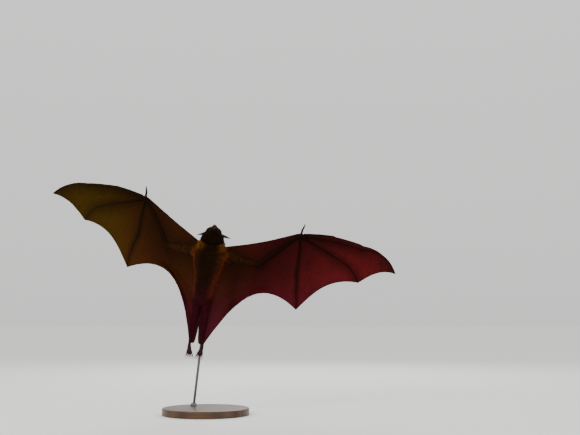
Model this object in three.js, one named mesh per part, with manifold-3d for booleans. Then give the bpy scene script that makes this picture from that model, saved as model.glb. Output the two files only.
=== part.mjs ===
// A black flying fox, Pteropus alecto, in slow flapping flight: a life-size model on a display stand.
//
// Lengths are in millimetres and angles in degrees. The world origin is the centre of the stand
// base's underside, with +Z up. The bat climbs with its belly facing -Y and its left wing at +X.
//
// Everything of the bat is shaped in one body frame, whose origin lies between the shoulders:
// +x to the bat's left, +y to its back, +z to its head. Wings are drawn flat first, as reach s
// outwards from the shoulder and chord c towards the head, and then bent by lift(s, c).

import * as THREE from 'three';
import { mergeVertices } from 'three/addons/utils/BufferGeometryUtils.js';
import Module from 'manifold-3d';

const wasm = await Module();
wasm.setup();

// ---------------------------------------------------------------- driving dimensions

const gap = 0.35; // clearance between neighbouring pieces
const webThickness = 0.9; // wing membrane
const throat = new THREE.Vector3(11, -8, 528); // body-frame origin in the world
const attitude = { lean: 6, bank: 7.3, roll: -7 }; // about X, then Y, then the body axis

const wingJoint = new THREE.Vector3(42, 18, -29); // left shoulder joint, mirrored for the right
const dihedral = 8.5;

const bones = {
  humerus: 115,
  forearm: 163,
  second: 104,
  third: [116, 85, 126],
  fourth: [114, 64, 62],
  fifth: [125, 56, 54],
  thumb: 30,
};

// Directions of the wing bones in the flat wing, from straight out towards the head. The bow is
// that of the wing tip; the scallops are how far the free edges curve in, in edge length.
const wingPoses = {
  left: {
    side: 1, humerus: -8, forearm: 42, thumb: 76, second: 6.5,
    third: [-3, -10, -29], fourth: [-25, -27, -51], fifth: [-89, -85, -83],
    corner: { s: 6, c: 29 }, frontSag: 6, tipBow: 23, scallop: [0.05, 0.2],
    rearFromAnkle: [76, 150], rearFromTip: [-130, 99],
  },
  right: {
    side: -1, humerus: 4, forearm: 60, thumb: 98, second: 15,
    third: [10, -2, -19], fourth: [-15, -18, -50], fifth: [-80, -72, -87],
    corner: { s: 3, c: 38 }, frontSag: 3, tipBow: 15, scallop: [0.06, 0.2],
    rearFromAnkle: [40, 165], rearFromTip: [-148, 71],
  },
};

const carpus = { reach: 13, radius: 8.2, depth: 6 }; // the wrist, and where the digits leave it
const spread = { second: 4.8, third: 0.6, fourth: -1.2, fifth: 0 }; // sideways on the carpus

const face = { pitch: 40, turn: 14, length: 59 }; // looks down from the line of the back, and left
const eye = { radius: 5.6, along: 34, out: 18.9, up: 6.5 };
const ear = { length: 30, halfWidth: 7, cup: 4.5, thickness: 1.3, along: 16.5, out: 29, up: 10 };
const foot = { length: 20, halfWidth: 7.2, turnIn: 0.16, drop: 0.16 };
const toe = { count: 5, length: 14, radius: 1.7, spacing: 2.7, fan: 5 };
const footClaw = { length: 10, radius: 1.2, hook: 75, sides: 5, rings: 3 };

// Leg joints: the middle between the two legs, how far out each lies, and its place in y and z.
const legs = {
  hip: { middle: -4.5, out: 12.5, y: -4, z: -172 },
  knee: { middle: -5, out: 17, y: 2, z: -243 },
  ankle: { middle: -1.5, out: 20.5, y: -22, z: -318 },
};

const stand = {
  baseRadius: 135, baseHeight: 22, bevel: 4,
  rodRadius: 4, rodFoot: [-43, 56, 23], rodTop: [5, 26, 432],
  collarRadius: 11, collarHeight: 9,
};

// ---------------------------------------------------------------- materials

function material(color, roughness, metalness = 0) {
  return new THREE.MeshStandardMaterial({ color, roughness, metalness });
}

const blackFur = material(0x1f1407, 0.9);
const rufousFur = material(0x5d3712, 0.9);
const darkSkin = material(0x211711, 0.6);
const webSkin = material(0x321705, 0.55);
const eyeball = material(0x351d0d, 0.08);
const horn = material(0x211b18, 0.35);
const walnut = material(0x47301f, 0.45);
const steel = material(0x5d5d5e, 0.38, 1);

// ---------------------------------------------------------------- small tools

const vec = (x, y, z) => new THREE.Vector3(x, y, z);
const { lerp, clamp, smoothstep, degToRad } = THREE.MathUtils;

// Moves every vertex of a geometry to place(x, y, z).
function reshape(geometry, place) {
  const position = geometry.attributes.position;
  for (let i = 0; i < position.count; i += 1) {
    const p = place(position.getX(i), position.getY(i), position.getZ(i));
    position.setXYZ(i, p.x, p.y, p.z);
  }
  geometry.deleteAttribute('normal');
  geometry.deleteAttribute('uv');
  return mergeVertices(geometry, 1e-4);
}

function solid(geometry) {
  const bare = geometry.clone();
  bare.deleteAttribute('normal');
  bare.deleteAttribute('uv');
  const merged = mergeVertices(bare, 1e-4);
  return new wasm.Manifold(new wasm.Mesh({
    numProp: 3,
    vertProperties: Float32Array.from(merged.attributes.position.array),
    triVerts: Uint32Array.from(merged.index.array),
  }));
}

function surface(manifold) {
  const mesh = manifold.getMesh();
  const geometry = new THREE.BufferGeometry();
  geometry.setAttribute('position', new THREE.BufferAttribute(mesh.vertProperties, 3));
  geometry.setIndex(new THREE.BufferAttribute(mesh.triVerts, 1));
  return geometry;
}

// Cuts the tools away and keeps the largest piece that is left.
function cut(geometry, ...tools) {
  const rest = tools.reduce((body, tool) => body.subtract(solid(tool)), solid(geometry));
  const [largest] = rest.decompose().sort((a, b) => b.volume() - a.volume());
  return surface(largest);
}

function join(...geometries) {
  return surface(geometries.map(solid).reduce((whole, next) => whole.add(next)));
}

// A closed tube along a curve. The radius is a function of t, and depth flattens it along `up`.
function tube(curve, radius, { sides = 8, rings = 6, depth = 1, up = vec(0, 1, 0) } = {}) {
  return reshape(new THREE.CylinderGeometry(1, 1, 1, sides, rings), (x, y, z) => {
    const t = y + 0.5;
    const along = curve.getTangent(t);
    const across = along.clone().cross(up).normalize();
    const out = across.clone().cross(along);
    const r = radius(t);
    return curve.getPoint(t).addScaledVector(across, x * r).addScaledVector(out, z * r * depth);
  });
}

// A sheet through point(u, v), for u and v from 0 to 1.
function sheet(point, columns, rows, thickness) {
  const step = 0.01;
  return reshape(new THREE.BoxGeometry(1, 1, 1, columns, rows, 1), (x, y, z) => {
    const u = clamp(x + 0.5, 0.03, 0.97);
    const v = clamp(y + 0.5, 0.03, 0.97);
    const du = point(u + step, v).sub(point(u - step, v));
    const dv = point(u, v + step).sub(point(u, v - step));
    const normal = du.cross(dv).normalize();
    return point(x + 0.5, y + 0.5).addScaledVector(normal, z * thickness);
  });
}

// A claw: a cone bent through an arc, starting along `forward` and hooking towards `down`.
function claw(base, forward, down, { length, radius, hook, sides = 6, rings = 4 }) {
  const turn = degToRad(hook);
  class Hook extends THREE.Curve {
    getPoint(t) {
      const bend = length / turn;
      return base.clone()
        .addScaledVector(forward, bend * Math.sin(turn * t))
        .addScaledVector(down, bend * (1 - Math.cos(turn * t)));
    }
  }
  const taper = (t) => radius * (1 - 0.86 * t ** 1.3);
  return tube(new Hook(), taper, { sides, rings, up: forward.clone().cross(down) });
}

// ---------------------------------------------------------------- head, neck and trunk

// The frame of a cross section that leans forward by `pitch` and turns to the left by `turn`.
function frameOf(pitch, turn) {
  const swing = (v) => v.applyAxisAngle(vec(0, 0, 1), degToRad(turn));
  return {
    out: swing(vec(1, 0, 0)),
    along: swing(vec(0, -Math.sin(degToRad(pitch)), Math.cos(degToRad(pitch)))),
    up: swing(vec(0, Math.cos(degToRad(pitch)), Math.sin(degToRad(pitch)))),
  };
}

const occiput = vec(2.5, 8, 15);
const faceFrame = frameOf(face.pitch, face.turn);

function inHead(out, along, up) {
  return occiput.clone().addScaledVector(faceFrame.out, out)
    .addScaledVector(faceFrame.along, along).addScaledVector(faceFrame.up, up);
}

// Cross sections from the crotch to the nose: centre, half width, depth to belly and to back,
// and how far the section leans forward and turns. Fur is included.
function section(centre, halfWidth, belly, back, pitch = 0, turn = 0) {
  return { centre, girth: vec(halfWidth, belly, back), pitch, turn };
}

function headSection(along, up, halfWidth, chin, crown) {
  return section(inHead(0, along, up), halfWidth, chin, crown, face.pitch, face.turn);
}

const trunkSections = [
  section(vec(-5, -7, -191), 6, 6, 6),
  section(vec(-5, -6, -182), 19, 17, 18),
  section(vec(-5, -5, -163), 27, 24, 25),
  section(vec(-4, -3, -130), 30, 29, 28),
  section(vec(0, 0, -97), 37, 34, 33),
  section(vec(2, 1, -63), 44, 38, 36),
  section(vec(3, 2, -30), 46, 39, 37),
  section(vec(3, 3, -6), 43, 36, 35, 12, 4),
];
const headSections = [
  headSection(0, 0, 37, 29, 29),
  headSection(12, 0, 34.5, 25, 26),
  headSection(22, 0, 31, 21.5, 23),
  headSection(32, 0, 26, 17.5, 18),
  headSection(41, -1, 20, 14, 13.5),
  headSection(50, -2, 14, 11, 10.5),
  headSection(face.length, -2.5, 8, 7.6, 7),
];
const sections = [...trunkSections, ...headSections];
const spine = new THREE.CatmullRomCurve3(sections.map((s) => s.centre));
const girths = new THREE.CatmullRomCurve3(sections.map((s) => s.girth));
const collarAt = trunkSections.length - 1; // section numbers where the body is parted
const occiputAt = trunkSections.length;
const noseAt = sections.length - 1;

// The stretch of the body between two section numbers, with `grow` added all round.
function bodyStretch(from, to, rings, grow = 0) {
  return reshape(new THREE.CylinderGeometry(1, 1, 1, 14, rings), (x, y, z) => {
    const number = lerp(from, to, y + 0.5);
    const below = sections[Math.floor(Math.min(number, noseAt - 0.001))];
    const above = sections[sections.indexOf(below) + 1];
    const share = number - sections.indexOf(below);
    const frame = frameOf(lerp(below.pitch, above.pitch, share), lerp(below.turn, above.turn, share));
    const girth = girths.getPoint(number / noseAt);
    const depth = z > 0 ? girth.z : girth.y;
    return spine.getPoint(number / noseAt)
      .addScaledVector(frame.out, -x * (girth.x + grow))
      .addScaledVector(frame.up, z * (depth + grow));
  });
}

const parting = 0.01; // half the thin cut between neck and neighbours, in section numbers
const trunkFlesh = (grow) => bodyStretch(0, collarAt - parting, 12, grow);
const neckFlesh = (grow) => bodyStretch(collarAt + parting, occiputAt - parting, 3, grow);
const headFlesh = (grow) => bodyStretch(occiputAt + parting, noseAt, 10, grow);

// Side view of everything below the mouth, drawn as along and up in the head frame.
function jawRegion(grow) {
  const outline = [
    [29, -6.2 + grow], [46, -5.6 + grow], [72, -5 + grow], [72, -40],
    [24 - grow, -40], [20 - grow, -20], [24 - grow, -11],
  ];
  const shape = new THREE.Shape(outline.map(([along, up]) => new THREE.Vector2(along, up)));
  const slab = new THREE.ExtrudeGeometry(shape, { depth: 80, bevelEnabled: false });
  return reshape(slab, (x, y, z) => inHead(40 - z, x, y));
}

function eyeAt(side, grow) {
  const centre = inHead(side * eye.out, eye.along, eye.up);
  const ball = new THREE.SphereGeometry(eye.radius + grow, 12, 8);
  return reshape(ball, (x, y, z) => vec(x, y, z).add(centre));
}

// The nose pad: a round cushion in front of the muzzle, grooved between the nostrils.
function nosePad() {
  return reshape(new THREE.CylinderGeometry(1, 1, 1, 14, 3), (x, y, z) => {
    const t = y + 0.5;
    const round = Math.sqrt(1 - 0.75 * t * t);
    const groove = z > 0 ? 1 - 0.25 * t * Math.exp(-((x / 0.3) ** 2)) : 1;
    return inHead(-x * 6.6 * round, face.length + gap + 4.2 * t * groove, -1.6 + z * 4.6 * round);
  });
}

// A pointed leaf, cupped towards the front, standing out from the side of the head.
function earLeaf(side) {
  const root = inHead(side * ear.out, ear.along, ear.up);
  const axis = vec(side * 0.8, 0.5, -0.22).normalize();
  const front = vec(side * 0.25, -0.6, 1);
  front.addScaledVector(axis, -front.dot(axis)).normalize();
  const across = axis.clone().cross(front);
  return sheet((u, v) => {
    const w = 2 * u - 1;
    const profile = Math.sqrt(Math.max(0, 1 - v ** 2.6)) * lerp(0.82, 1, Math.sin(Math.PI * v)) + 0.06;
    const cup = -ear.cup * (1 - w * w) * profile * (1 - 0.5 * v);
    return root.clone()
      .addScaledVector(axis, ear.length * v - 4 * (1 - v))
      .addScaledVector(across, w * ear.halfWidth * profile)
      .addScaledVector(front, cup + 2.5 * v * v);
  }, 4, 7, ear.thickness);
}

// ---------------------------------------------------------------- wings

// Height of the wing above its flat plan: it rises from the shoulder, droops to the tip and is
// arched from front to back.
function lift(s, c) {
  return 0.15 * s - 0.00034 * s * s - 0.00125 * c * c;
}

function onWing(side, p, extra = 0) {
  const height = lift(p.x, p.y) + extra;
  const tilt = degToRad(dihedral);
  return vec(
    side * (wingJoint.x + p.x * Math.cos(tilt) - height * Math.sin(tilt)),
    wingJoint.y + p.x * Math.sin(tilt) + height * Math.cos(tilt),
    wingJoint.z + p.y,
  );
}

function heading(degrees) {
  return new THREE.Vector2(Math.cos(degToRad(degrees)), Math.sin(degToRad(degrees)));
}

// A chain of bones in the flat wing. Each takes an equal share of t and may be bowed forwards.
class BoneChain extends THREE.Curve {
  constructor(start, links) {
    super();
    this.joints = [start];
    this.bows = links.map((link) => link.bow ?? 0);
    for (const link of links) {
      this.joints.push(this.joints.at(-1).clone().addScaledVector(heading(link.angle), link.length));
    }
  }

  getPoint(t) {
    const count = this.bows.length;
    const i = Math.min(Math.floor(t * count), count - 1);
    const k = t * count - i;
    const chord = this.joints[i + 1].clone().sub(this.joints[i]);
    const forwards = new THREE.Vector2(-chord.y, chord.x).normalize();
    return this.joints[i].clone().addScaledVector(chord, k)
      .addScaledVector(forwards, this.bows[i] * 4 * k * (1 - k));
  }

  // The point beside the chain, `offset` towards the head (or, if negative, the tail).
  beside(t, offset) {
    const ahead = this.getPoint(Math.min(1, t + 0.012));
    const behind = this.getPoint(Math.max(0, t - 0.012));
    const along = ahead.sub(behind).normalize();
    return this.getPoint(t).add(new THREE.Vector2(-along.y, along.x).multiplyScalar(offset));
  }
}

class WingCurve extends THREE.Curve {
  constructor(side, chain) {
    super();
    this.side = side;
    this.chain = chain;
  }

  getPoint(t) {
    return onWing(this.side, this.chain.getPoint(t));
  }

  // A wide step rounds the corners at the joints.
  getTangent(t) {
    const ahead = this.getPoint(Math.min(1, t + 0.03));
    return ahead.sub(this.getPoint(Math.max(0, t - 0.03))).normalize();
  }
}

// Radii along a digit: it thins from the wrist to the tip, with a knob at each joint.
function digitRadius(root, tip, joints) {
  return (t) => {
    const knob = joints.reduce((sum, at) => sum + 0.7 * Math.exp(-(((t - at) / 0.03) ** 2)), 0);
    return lerp(root, tip, Math.sqrt(t)) + knob * (1 - 0.5 * t);
  };
}

const armRadius = (t) => {
  const upper = lerp(11.5, 7.2, smoothstep(t, 0, 0.42));
  const lower = lerp(7.2, 4.2, smoothstep(t, 0.56, 0.95));
  return t < 0.5 ? upper : lower;
};
const digitRings = 12; // webs take the same steps, so that they follow the digits
const secondRadius = digitRadius(2, 1.2, [0.5]);
const thirdRadius = digitRadius(2.8, 0.9, [1 / 3, 2 / 3]);
const fourthRadius = digitRadius(2.6, 0.9, [1 / 3, 2 / 3]);
const fifthRadius = digitRadius(2.9, 0.9, [1 / 3, 2 / 3]);

function wingSkeleton(pose) {
  const arm = new BoneChain(new THREE.Vector2(0, 0), [
    { length: bones.humerus, angle: pose.humerus },
    { length: bones.forearm, angle: pose.forearm, bow: 3 },
  ]);
  const wrist = arm.joints[2];
  const digit = (lengths, angles, sideways, bows) => {
    const out = heading(angles[0]);
    const start = wrist.clone().addScaledVector(out, carpus.reach)
      .add(new THREE.Vector2(-out.y, out.x).multiplyScalar(sideways));
    const knuckle = wrist.clone().addScaledVector(out, lengths[0]);
    const first = knuckle.sub(start);
    const links = lengths.map((length, i) => ({ length, angle: angles[i], bow: bows[i] }));
    links[0].length = first.length();
    links[0].angle = THREE.MathUtils.radToDeg(first.angle());
    return new BoneChain(start, links);
  };
  return {
    arm,
    wrist,
    second: digit([bones.second], [pose.second], spread.second, [1.5]),
    third: digit(bones.third, pose.third, spread.third, [0, 1, pose.tipBow]),
    fourth: digit(bones.fourth, pose.fourth, spread.fourth, [0, 1, 4]),
    fifth: digit(bones.fifth, pose.fifth, spread.fifth, [2, 2, 2]),
  };
}

// A web between two digits, billowing to the back and with a scalloped free edge.
function digitWeb(side, front, rear, billow, inset, columns, rows) {
  return sheet((u, v) => {
    const t = Math.max(0.012, v) * (1 - inset * 4 * u * (1 - u));
    const a = front(t);
    const b = rear(t);
    const rise = billow * Math.sin(Math.PI * u) * Math.sin(Math.PI * clamp(0.12 + 0.75 * v, 0, 1));
    return onWing(side, a).lerp(onWing(side, b), u).add(vec(0, rise, 0));
  }, columns, rows, webThickness);
}

// A patch between four edge curves: head (0, v=0) and tail edges by u, inner and outer by v.
function coons(head, tail, inner, outer, billow) {
  return (u, v) => {
    const across = head(u).lerp(tail(u), v);
    const along = inner(v).lerp(outer(v), u);
    const corners = head(0).lerp(head(1), u).lerp(tail(0).lerp(tail(1), u), v);
    const rise = billow * Math.sin(Math.PI * u) * Math.sin(Math.PI * v);
    return across.add(along).sub(corners).add(vec(0, rise, 0));
  };
}

const legPoint = (side, joint) => vec(joint.middle + side * joint.out, joint.y, joint.z);

function makeWing(name, pose, put) {
  const { side } = pose;
  const bone = wingSkeleton(pose);
  const curve = (chain) => new WingCurve(side, chain);
  const clear = (radius, t) => radius(t) * 1.06 + gap;

  const bodyAround = [trunkFlesh(gap), neckFlesh(gap)];
  const humerus = new BoneChain(new THREE.Vector2(-4, 0.5), [
    { length: bones.humerus + 3, angle: pose.humerus },
  ]);
  const forearm = new BoneChain(bone.arm.joints[1], [
    { length: bones.forearm - carpus.radius - gap, angle: pose.forearm, bow: 3 },
  ]);
  const upperArm = (grow) => tube(curve(humerus), (t) => armRadius(t / 2) + grow, { rings: 4 });
  const lowerArm = (grow) => tube(curve(forearm), (t) => armRadius(0.5 + t / 2) + grow, { rings: 5 });
  const armAround = [upperArm(gap), lowerArm(gap)];
  put(`upper_arm_${name}`, cut(upperArm(0), ...bodyAround), blackFur);
  put(`forearm_${name}`, cut(lowerArm(0), upperArm(gap)), darkSkin);

  const wristCentre = onWing(side, bone.wrist);
  const wristBall = reshape(new THREE.SphereGeometry(1, 8, 6), (x, y, z) => wristCentre.clone()
    .add(vec(x * carpus.radius, y * carpus.depth, z * carpus.radius)));
  put(`wrist_${name}`, wristBall, darkSkin);

  // The thumb stands free of the wing, and its claw hooks inwards and to the belly.
  const thumbWay = heading(pose.thumb);
  const thumbChain = new BoneChain(bone.wrist.clone().addScaledVector(thumbWay, carpus.radius + gap), [
    { length: bones.thumb - carpus.radius, angle: pose.thumb, bow: 1.5 },
  ]);
  const thumbCurve = curve(thumbChain);
  put(`thumb_${name}`, tube(thumbCurve, digitRadius(3.1, 2.3, [0.4]), { sides: 8, rings: 5 }), darkSkin);
  const thumbEnd = thumbCurve.getTangent(1);
  const thumbTip = thumbCurve.getPoint(1).addScaledVector(thumbEnd, gap);
  const thumbDown = vec(-side * 0.8, -0.6, 0);
  thumbDown.addScaledVector(thumbEnd, -thumbDown.dot(thumbEnd)).normalize();
  const thumbHook = { length: 14, radius: 2.1, hook: 80 };
  put(`thumb_claw_${name}`, claw(thumbTip, thumbEnd, thumbDown, thumbHook), horn);

  const secondCurve = curve(bone.second);
  put(`digit_2_${name}`, tube(secondCurve, secondRadius, { sides: 6, rings: 4 }), darkSkin);
  const secondEnd = secondCurve.getTangent(1);
  const secondTip = secondCurve.getPoint(1).addScaledVector(secondEnd, gap);
  put(
    `digit_2_claw_${name}`,
    claw(secondTip, secondEnd, vec(0, -1, 0), { length: 7, radius: 1.1, hook: 50 }),
    horn,
  );
  const digitSteps = { sides: 6, rings: digitRings };
  put(`digit_3_${name}`, tube(curve(bone.third), thirdRadius, digitSteps), darkSkin);
  put(`digit_4_${name}`, tube(curve(bone.fourth), fourthRadius, digitSteps), darkSkin);
  put(`digit_5_${name}`, tube(curve(bone.fifth), fifthRadius, digitSteps), darkSkin);

  // Leading web: along the second digit, then a strip that narrows out on the third.
  const beyondSecond = 0.3;
  const secondEdge = (t) => bone.second.beside(t, -clear(secondRadius, t));
  const stripWidth = secondEdge(1).distanceTo(bone.third.getPoint(beyondSecond));
  const leading = (t) => {
    const narrow = clear(thirdRadius, t) + 0.8;
    const width = lerp(stripWidth, Math.max(narrow, stripWidth), smoothstep(t, 0.35, 0.55));
    const strip = bone.third.beside(t, lerp(width, narrow, smoothstep(t, 0.6, 0.86)));
    return t < beyondSecond ? secondEdge(t / beyondSecond) : strip;
  };
  const thirdFront = (t) => bone.third.beside(t, clear(thirdRadius, t));
  const stripEnd = 11 / 12;
  const leadingWeb = digitWeb(
    side,
    (t) => thirdFront(t * stripEnd),
    (t) => leading(t * stripEnd),
    0, 0, 2, 11,
  );
  put(`web_2_3_${name}`, leadingWeb, webSkin);

  const between = (front, frontRadius, rear, rearRadius, billow, inset, columns) => digitWeb(
    side,
    (t) => front.beside(t, -clear(frontRadius, t)),
    (t) => rear.beside(t, clear(rearRadius, t)),
    billow, inset, columns, digitRings,
  );
  put(
    `web_3_4_${name}`,
    between(bone.third, thirdRadius, bone.fourth, fourthRadius, 5, pose.scallop[0], 3),
    webSkin,
  );
  put(
    `web_4_5_${name}`,
    between(bone.fourth, fourthRadius, bone.fifth, fifthRadius, 11, pose.scallop[1], 5),
    webSkin,
  );

  // The web before the arm, from the side of the neck to the wrist.
  const corner = new THREE.Vector2(pose.corner.s, pose.corner.c);
  const wristFront = bone.wrist.clone().add(heading(pose.thumb + 62).multiplyScalar(carpus.radius + 1.2));
  const columns = 8;
  const rooted = new THREE.Vector2(-14, pose.corner.c - 3); // the edge starts inside the neck
  const frontEdge = (u) => {
    const free = Math.max(0, (u * columns - 1) / (columns - 1));
    const sag = pose.frontSag * Math.sin(Math.PI * free);
    const edge = corner.clone().lerp(wristFront, free).add(new THREE.Vector2(0, -sag));
    edge.lerp(rooted, Math.max(0, 1 - u * columns));
    return onWing(side, edge, -5 * Math.sin(Math.PI * free));
  };
  const armSide = (u) => onWing(side, bone.arm.beside(u * 0.955, armRadius(u * 0.955) * 0.8));
  put(`propatagium_${name}`, cut(
    sheet((u, v) => {
      const rise = 4 * Math.sin(Math.PI * u) * Math.sin(Math.PI * v);
      return armSide(u).lerp(frontEdge(u), v).add(vec(0, rise, 0));
    }, columns, 3, webThickness),
    ...bodyAround,
    ...armAround,
  ), webSkin);

  // The web behind the arm, from the flank and leg out to the fifth digit.
  const armRear = (u) => {
    const t = u * 0.975;
    return onWing(side, bone.arm.beside(t, -armRadius(t) * 0.8));
  };
  const ankle = legPoint(side, legs.ankle);
  const legLine = new THREE.CatmullRomCurve3([
    armRear(0),
    vec(side * 26, 8, -100),
    legPoint(side, legs.hip),
    legPoint(side, legs.knee),
    ankle,
  ]);
  const fifthRear = (v) => onWing(side, bone.fifth.beside(v, -clear(fifthRadius, v)));
  const tip = fifthRear(1);
  const rearEdge = new THREE.CubicBezierCurve3(
    ankle,
    ankle.clone().add(vec(side * pose.rearFromAnkle[0], 18, pose.rearFromAnkle[1])),
    tip.clone().add(vec(side * pose.rearFromTip[0], 0, pose.rearFromTip[1])),
    tip,
  );
  const plagio = coons(
    armRear,
    (u) => rearEdge.getPoint(u),
    (v) => legLine.getPoint(v),
    fifthRear,
    9,
  );
  put(`plagiopatagium_${name}`, cut(
    sheet(plagio, 8, digitRings, webThickness),
    ...bodyAround,
    ...armAround,
    thigh(side, gap),
    shank(side, gap),
  ), webSkin);
}

// ---------------------------------------------------------------- legs

function thigh(side, grow) {
  const line = new THREE.LineCurve3(legPoint(side, legs.hip), legPoint(side, legs.knee));
  return tube(line, (t) => lerp(13, 9.2, t) + grow, { rings: 1 });
}

function shank(side, grow) {
  const knee = legPoint(side, legs.knee);
  const ankle = legPoint(side, legs.ankle);
  const start = knee.clone().lerp(ankle, 0.006 - 0.01 * Math.sign(grow));
  const line = new THREE.LineCurve3(start, ankle);
  return tube(line, (t) => lerp(8.6, 4.4, Math.sqrt(t)) + grow, { rings: 4 });
}

function makeLeg(name, side, put) {
  put(`thigh_${name}`, cut(thigh(side, 0), trunkFlesh(gap)), blackFur);
  put(`shank_${name}`, cut(shank(side, 0), thigh(side, gap)), blackFur);

  const ankle = legPoint(side, legs.ankle);
  const way = vec(-side * foot.turnIn, -foot.drop, -1).normalize();
  const start = ankle.clone().addScaledVector(way, gap + 0.8);
  const ball = start.clone().addScaledVector(way, foot.length);
  const sole = tube(
    new THREE.LineCurve3(start, ball),
    (t) => lerp(4.4, foot.halfWidth, Math.sqrt(t)),
    { sides: 6, rings: 3, depth: 0.55 },
  );
  const toes = [];
  for (let i = 0; i < toe.count; i += 1) {
    const place = i - (toe.count - 1) / 2;
    const fan = degToRad(place * toe.fan);
    const out = way.clone().applyAxisAngle(vec(0, 1, 0), -fan);
    const root = ball.clone().add(vec(place * toe.spacing, 0, 0)).addScaledVector(way, -3);
    const end = root.clone().addScaledVector(out, toe.length);
    toes.push(tube(new THREE.LineCurve3(root, end), () => toe.radius, { sides: 6, rings: 1 }));
    const hookStart = end.clone().addScaledVector(out, gap);
    put(`foot_claw_${i + 1}_${name}`, claw(hookStart, out, vec(0, -1, 0), footClaw), horn);
  }
  put(`foot_${name}`, join(sole, ...toes), darkSkin);
}

// The narrow web between the legs, with its notch towards the tail.
function tailWeb() {
  const line = (side) => new THREE.CatmullRomCurve3(
    [legs.hip, legs.knee, legs.ankle].map((joint) => legPoint(side, joint)),
  );
  const rightLeg = line(-1);
  const leftLeg = line(1);
  return sheet((u, v) => {
    const reach = lerp(0.6, 0.95, Math.min(1, 2.4 * Math.abs(2 * u - 1)) ** 0.8);
    const t = lerp(0.05, reach, v);
    return rightLeg.getPoint(t).lerp(leftLeg.getPoint(t), u);
  }, 6, 5, 1.4);
}

// ---------------------------------------------------------------- the stand

function standRod(grow) {
  const line = new THREE.LineCurve3(vec(...stand.rodFoot), vec(...stand.rodTop));
  return tube(line, () => stand.rodRadius + grow, { sides: 12, rings: 1 });
}

function standBase() {
  const { baseRadius: r, baseHeight: h, bevel } = stand;
  const profile = [[0, 0], [r - 1.5, 0], [r, 1.5], [r, h - bevel], [r - bevel, h], [0, h]];
  const turned = new THREE.LatheGeometry(profile.map(([x, y]) => new THREE.Vector2(x, y)), 28);
  return reshape(turned, (x, y, z) => vec(x, -z, y));
}

function standCollar() {
  const { collarRadius: r, collarHeight: h } = stand;
  const rodFoot = vec(...stand.rodFoot);
  const disc = new THREE.CylinderGeometry(r * 0.8, r, h, 20);
  const ring = reshape(disc, (x, y, z) => vec(x, -z, y + h / 2 + gap).add(rodFoot));
  return cut(ring, standRod(gap));
}

// ---------------------------------------------------------------- assembly

const group = new THREE.Group();
const bat = new THREE.Group();
bat.position.copy(throat);
bat.rotation.set(degToRad(attitude.lean), degToRad(attitude.bank), degToRad(attitude.roll), 'XYZ');
bat.updateMatrix();
group.add(bat);

function putIn(parent) {
  return (name, geometry, look) => {
    const mesh = new THREE.Mesh(geometry, look);
    mesh.name = name;
    parent.add(mesh);
  };
}

const putBat = putIn(bat);
const putStand = putIn(group);

// The rod ends in a socket in the lower back, seen here from the body frame.
const rodInBody = standRod(gap).applyMatrix4(bat.matrix.clone().invert());
putBat('trunk', cut(trunkFlesh(0), rodInBody), blackFur);
putBat('neck', neckFlesh(0), rufousFur);
putBat('head', cut(headFlesh(0), eyeAt(1, gap), eyeAt(-1, gap), jawRegion(gap)), blackFur);
putBat('lower_jaw', surface(solid(headFlesh(0)).intersect(solid(jawRegion(0)))), blackFur);
putBat('nose', nosePad(), darkSkin);
for (const [name, side] of [['left', 1], ['right', -1]]) {
  putBat(`eye_${name}`, eyeAt(side, 0), eyeball);
  putBat(`ear_${name}`, cut(earLeaf(side), headFlesh(gap)), darkSkin);
  makeLeg(name, side, putBat);
  makeWing(name, wingPoses[name], putBat);
}
putBat('uropatagium', cut(
  tailWeb(),
  trunkFlesh(gap),
  ...[1, -1].flatMap((side) => [thigh(side, gap), shank(side, gap)]),
), webSkin);

putStand('stand_base', standBase(), walnut);
putStand('stand_collar', standCollar(), steel);
putStand('stand_rod', standRod(0), steel);

export default group;
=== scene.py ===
# A black flying fox in slow flapping flight on a display stand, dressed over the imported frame.
# Shapes are worked out in millimetres in the bat's own frame (+x its left, +y its back, +z its
# head, origin between the shoulders) and put into the world, in metres, as each mesh is made.
import math

import bpy
import numpy as np
import openvdb as vdb
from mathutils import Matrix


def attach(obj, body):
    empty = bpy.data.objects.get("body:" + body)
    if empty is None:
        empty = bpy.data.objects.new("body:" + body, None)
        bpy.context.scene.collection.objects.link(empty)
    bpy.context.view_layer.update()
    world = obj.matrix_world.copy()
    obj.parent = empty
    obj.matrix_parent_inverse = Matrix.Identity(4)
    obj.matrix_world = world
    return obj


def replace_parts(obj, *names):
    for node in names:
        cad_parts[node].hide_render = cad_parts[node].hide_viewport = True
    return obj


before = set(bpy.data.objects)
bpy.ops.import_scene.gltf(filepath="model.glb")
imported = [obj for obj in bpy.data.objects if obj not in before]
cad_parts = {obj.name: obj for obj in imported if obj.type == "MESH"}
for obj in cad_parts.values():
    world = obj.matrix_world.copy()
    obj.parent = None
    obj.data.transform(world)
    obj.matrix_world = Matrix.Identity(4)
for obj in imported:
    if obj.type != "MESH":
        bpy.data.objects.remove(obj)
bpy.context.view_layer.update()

# ------------------------------------------------------------------ dimensions
#
# Most of these are the solids' own. The scene's are "scallop" and "shade" in POSES, the feet, the
# claws of thumbs and feet, the membranes' thickness, the voxels, the edges of the stand, ROD_SINK,
# the collar's height, and the coat depth of each section.

THROAT = np.array([11.0, -8.0, 528.0])
ATTITUDE = (6.0, 7.3, -7.0)  # degrees about X, then Y, then the body axis
WING_JOINT = np.array([42.0, 18.0, -29.0])
DIHEDRAL = math.radians(8.5)
BONES = {"humerus": 115, "forearm": 163, "second": [104], "third": [116, 85, 126],
         "fourth": [114, 64, 62], "fifth": [125, 56, 54], "thumb": 30}
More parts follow.
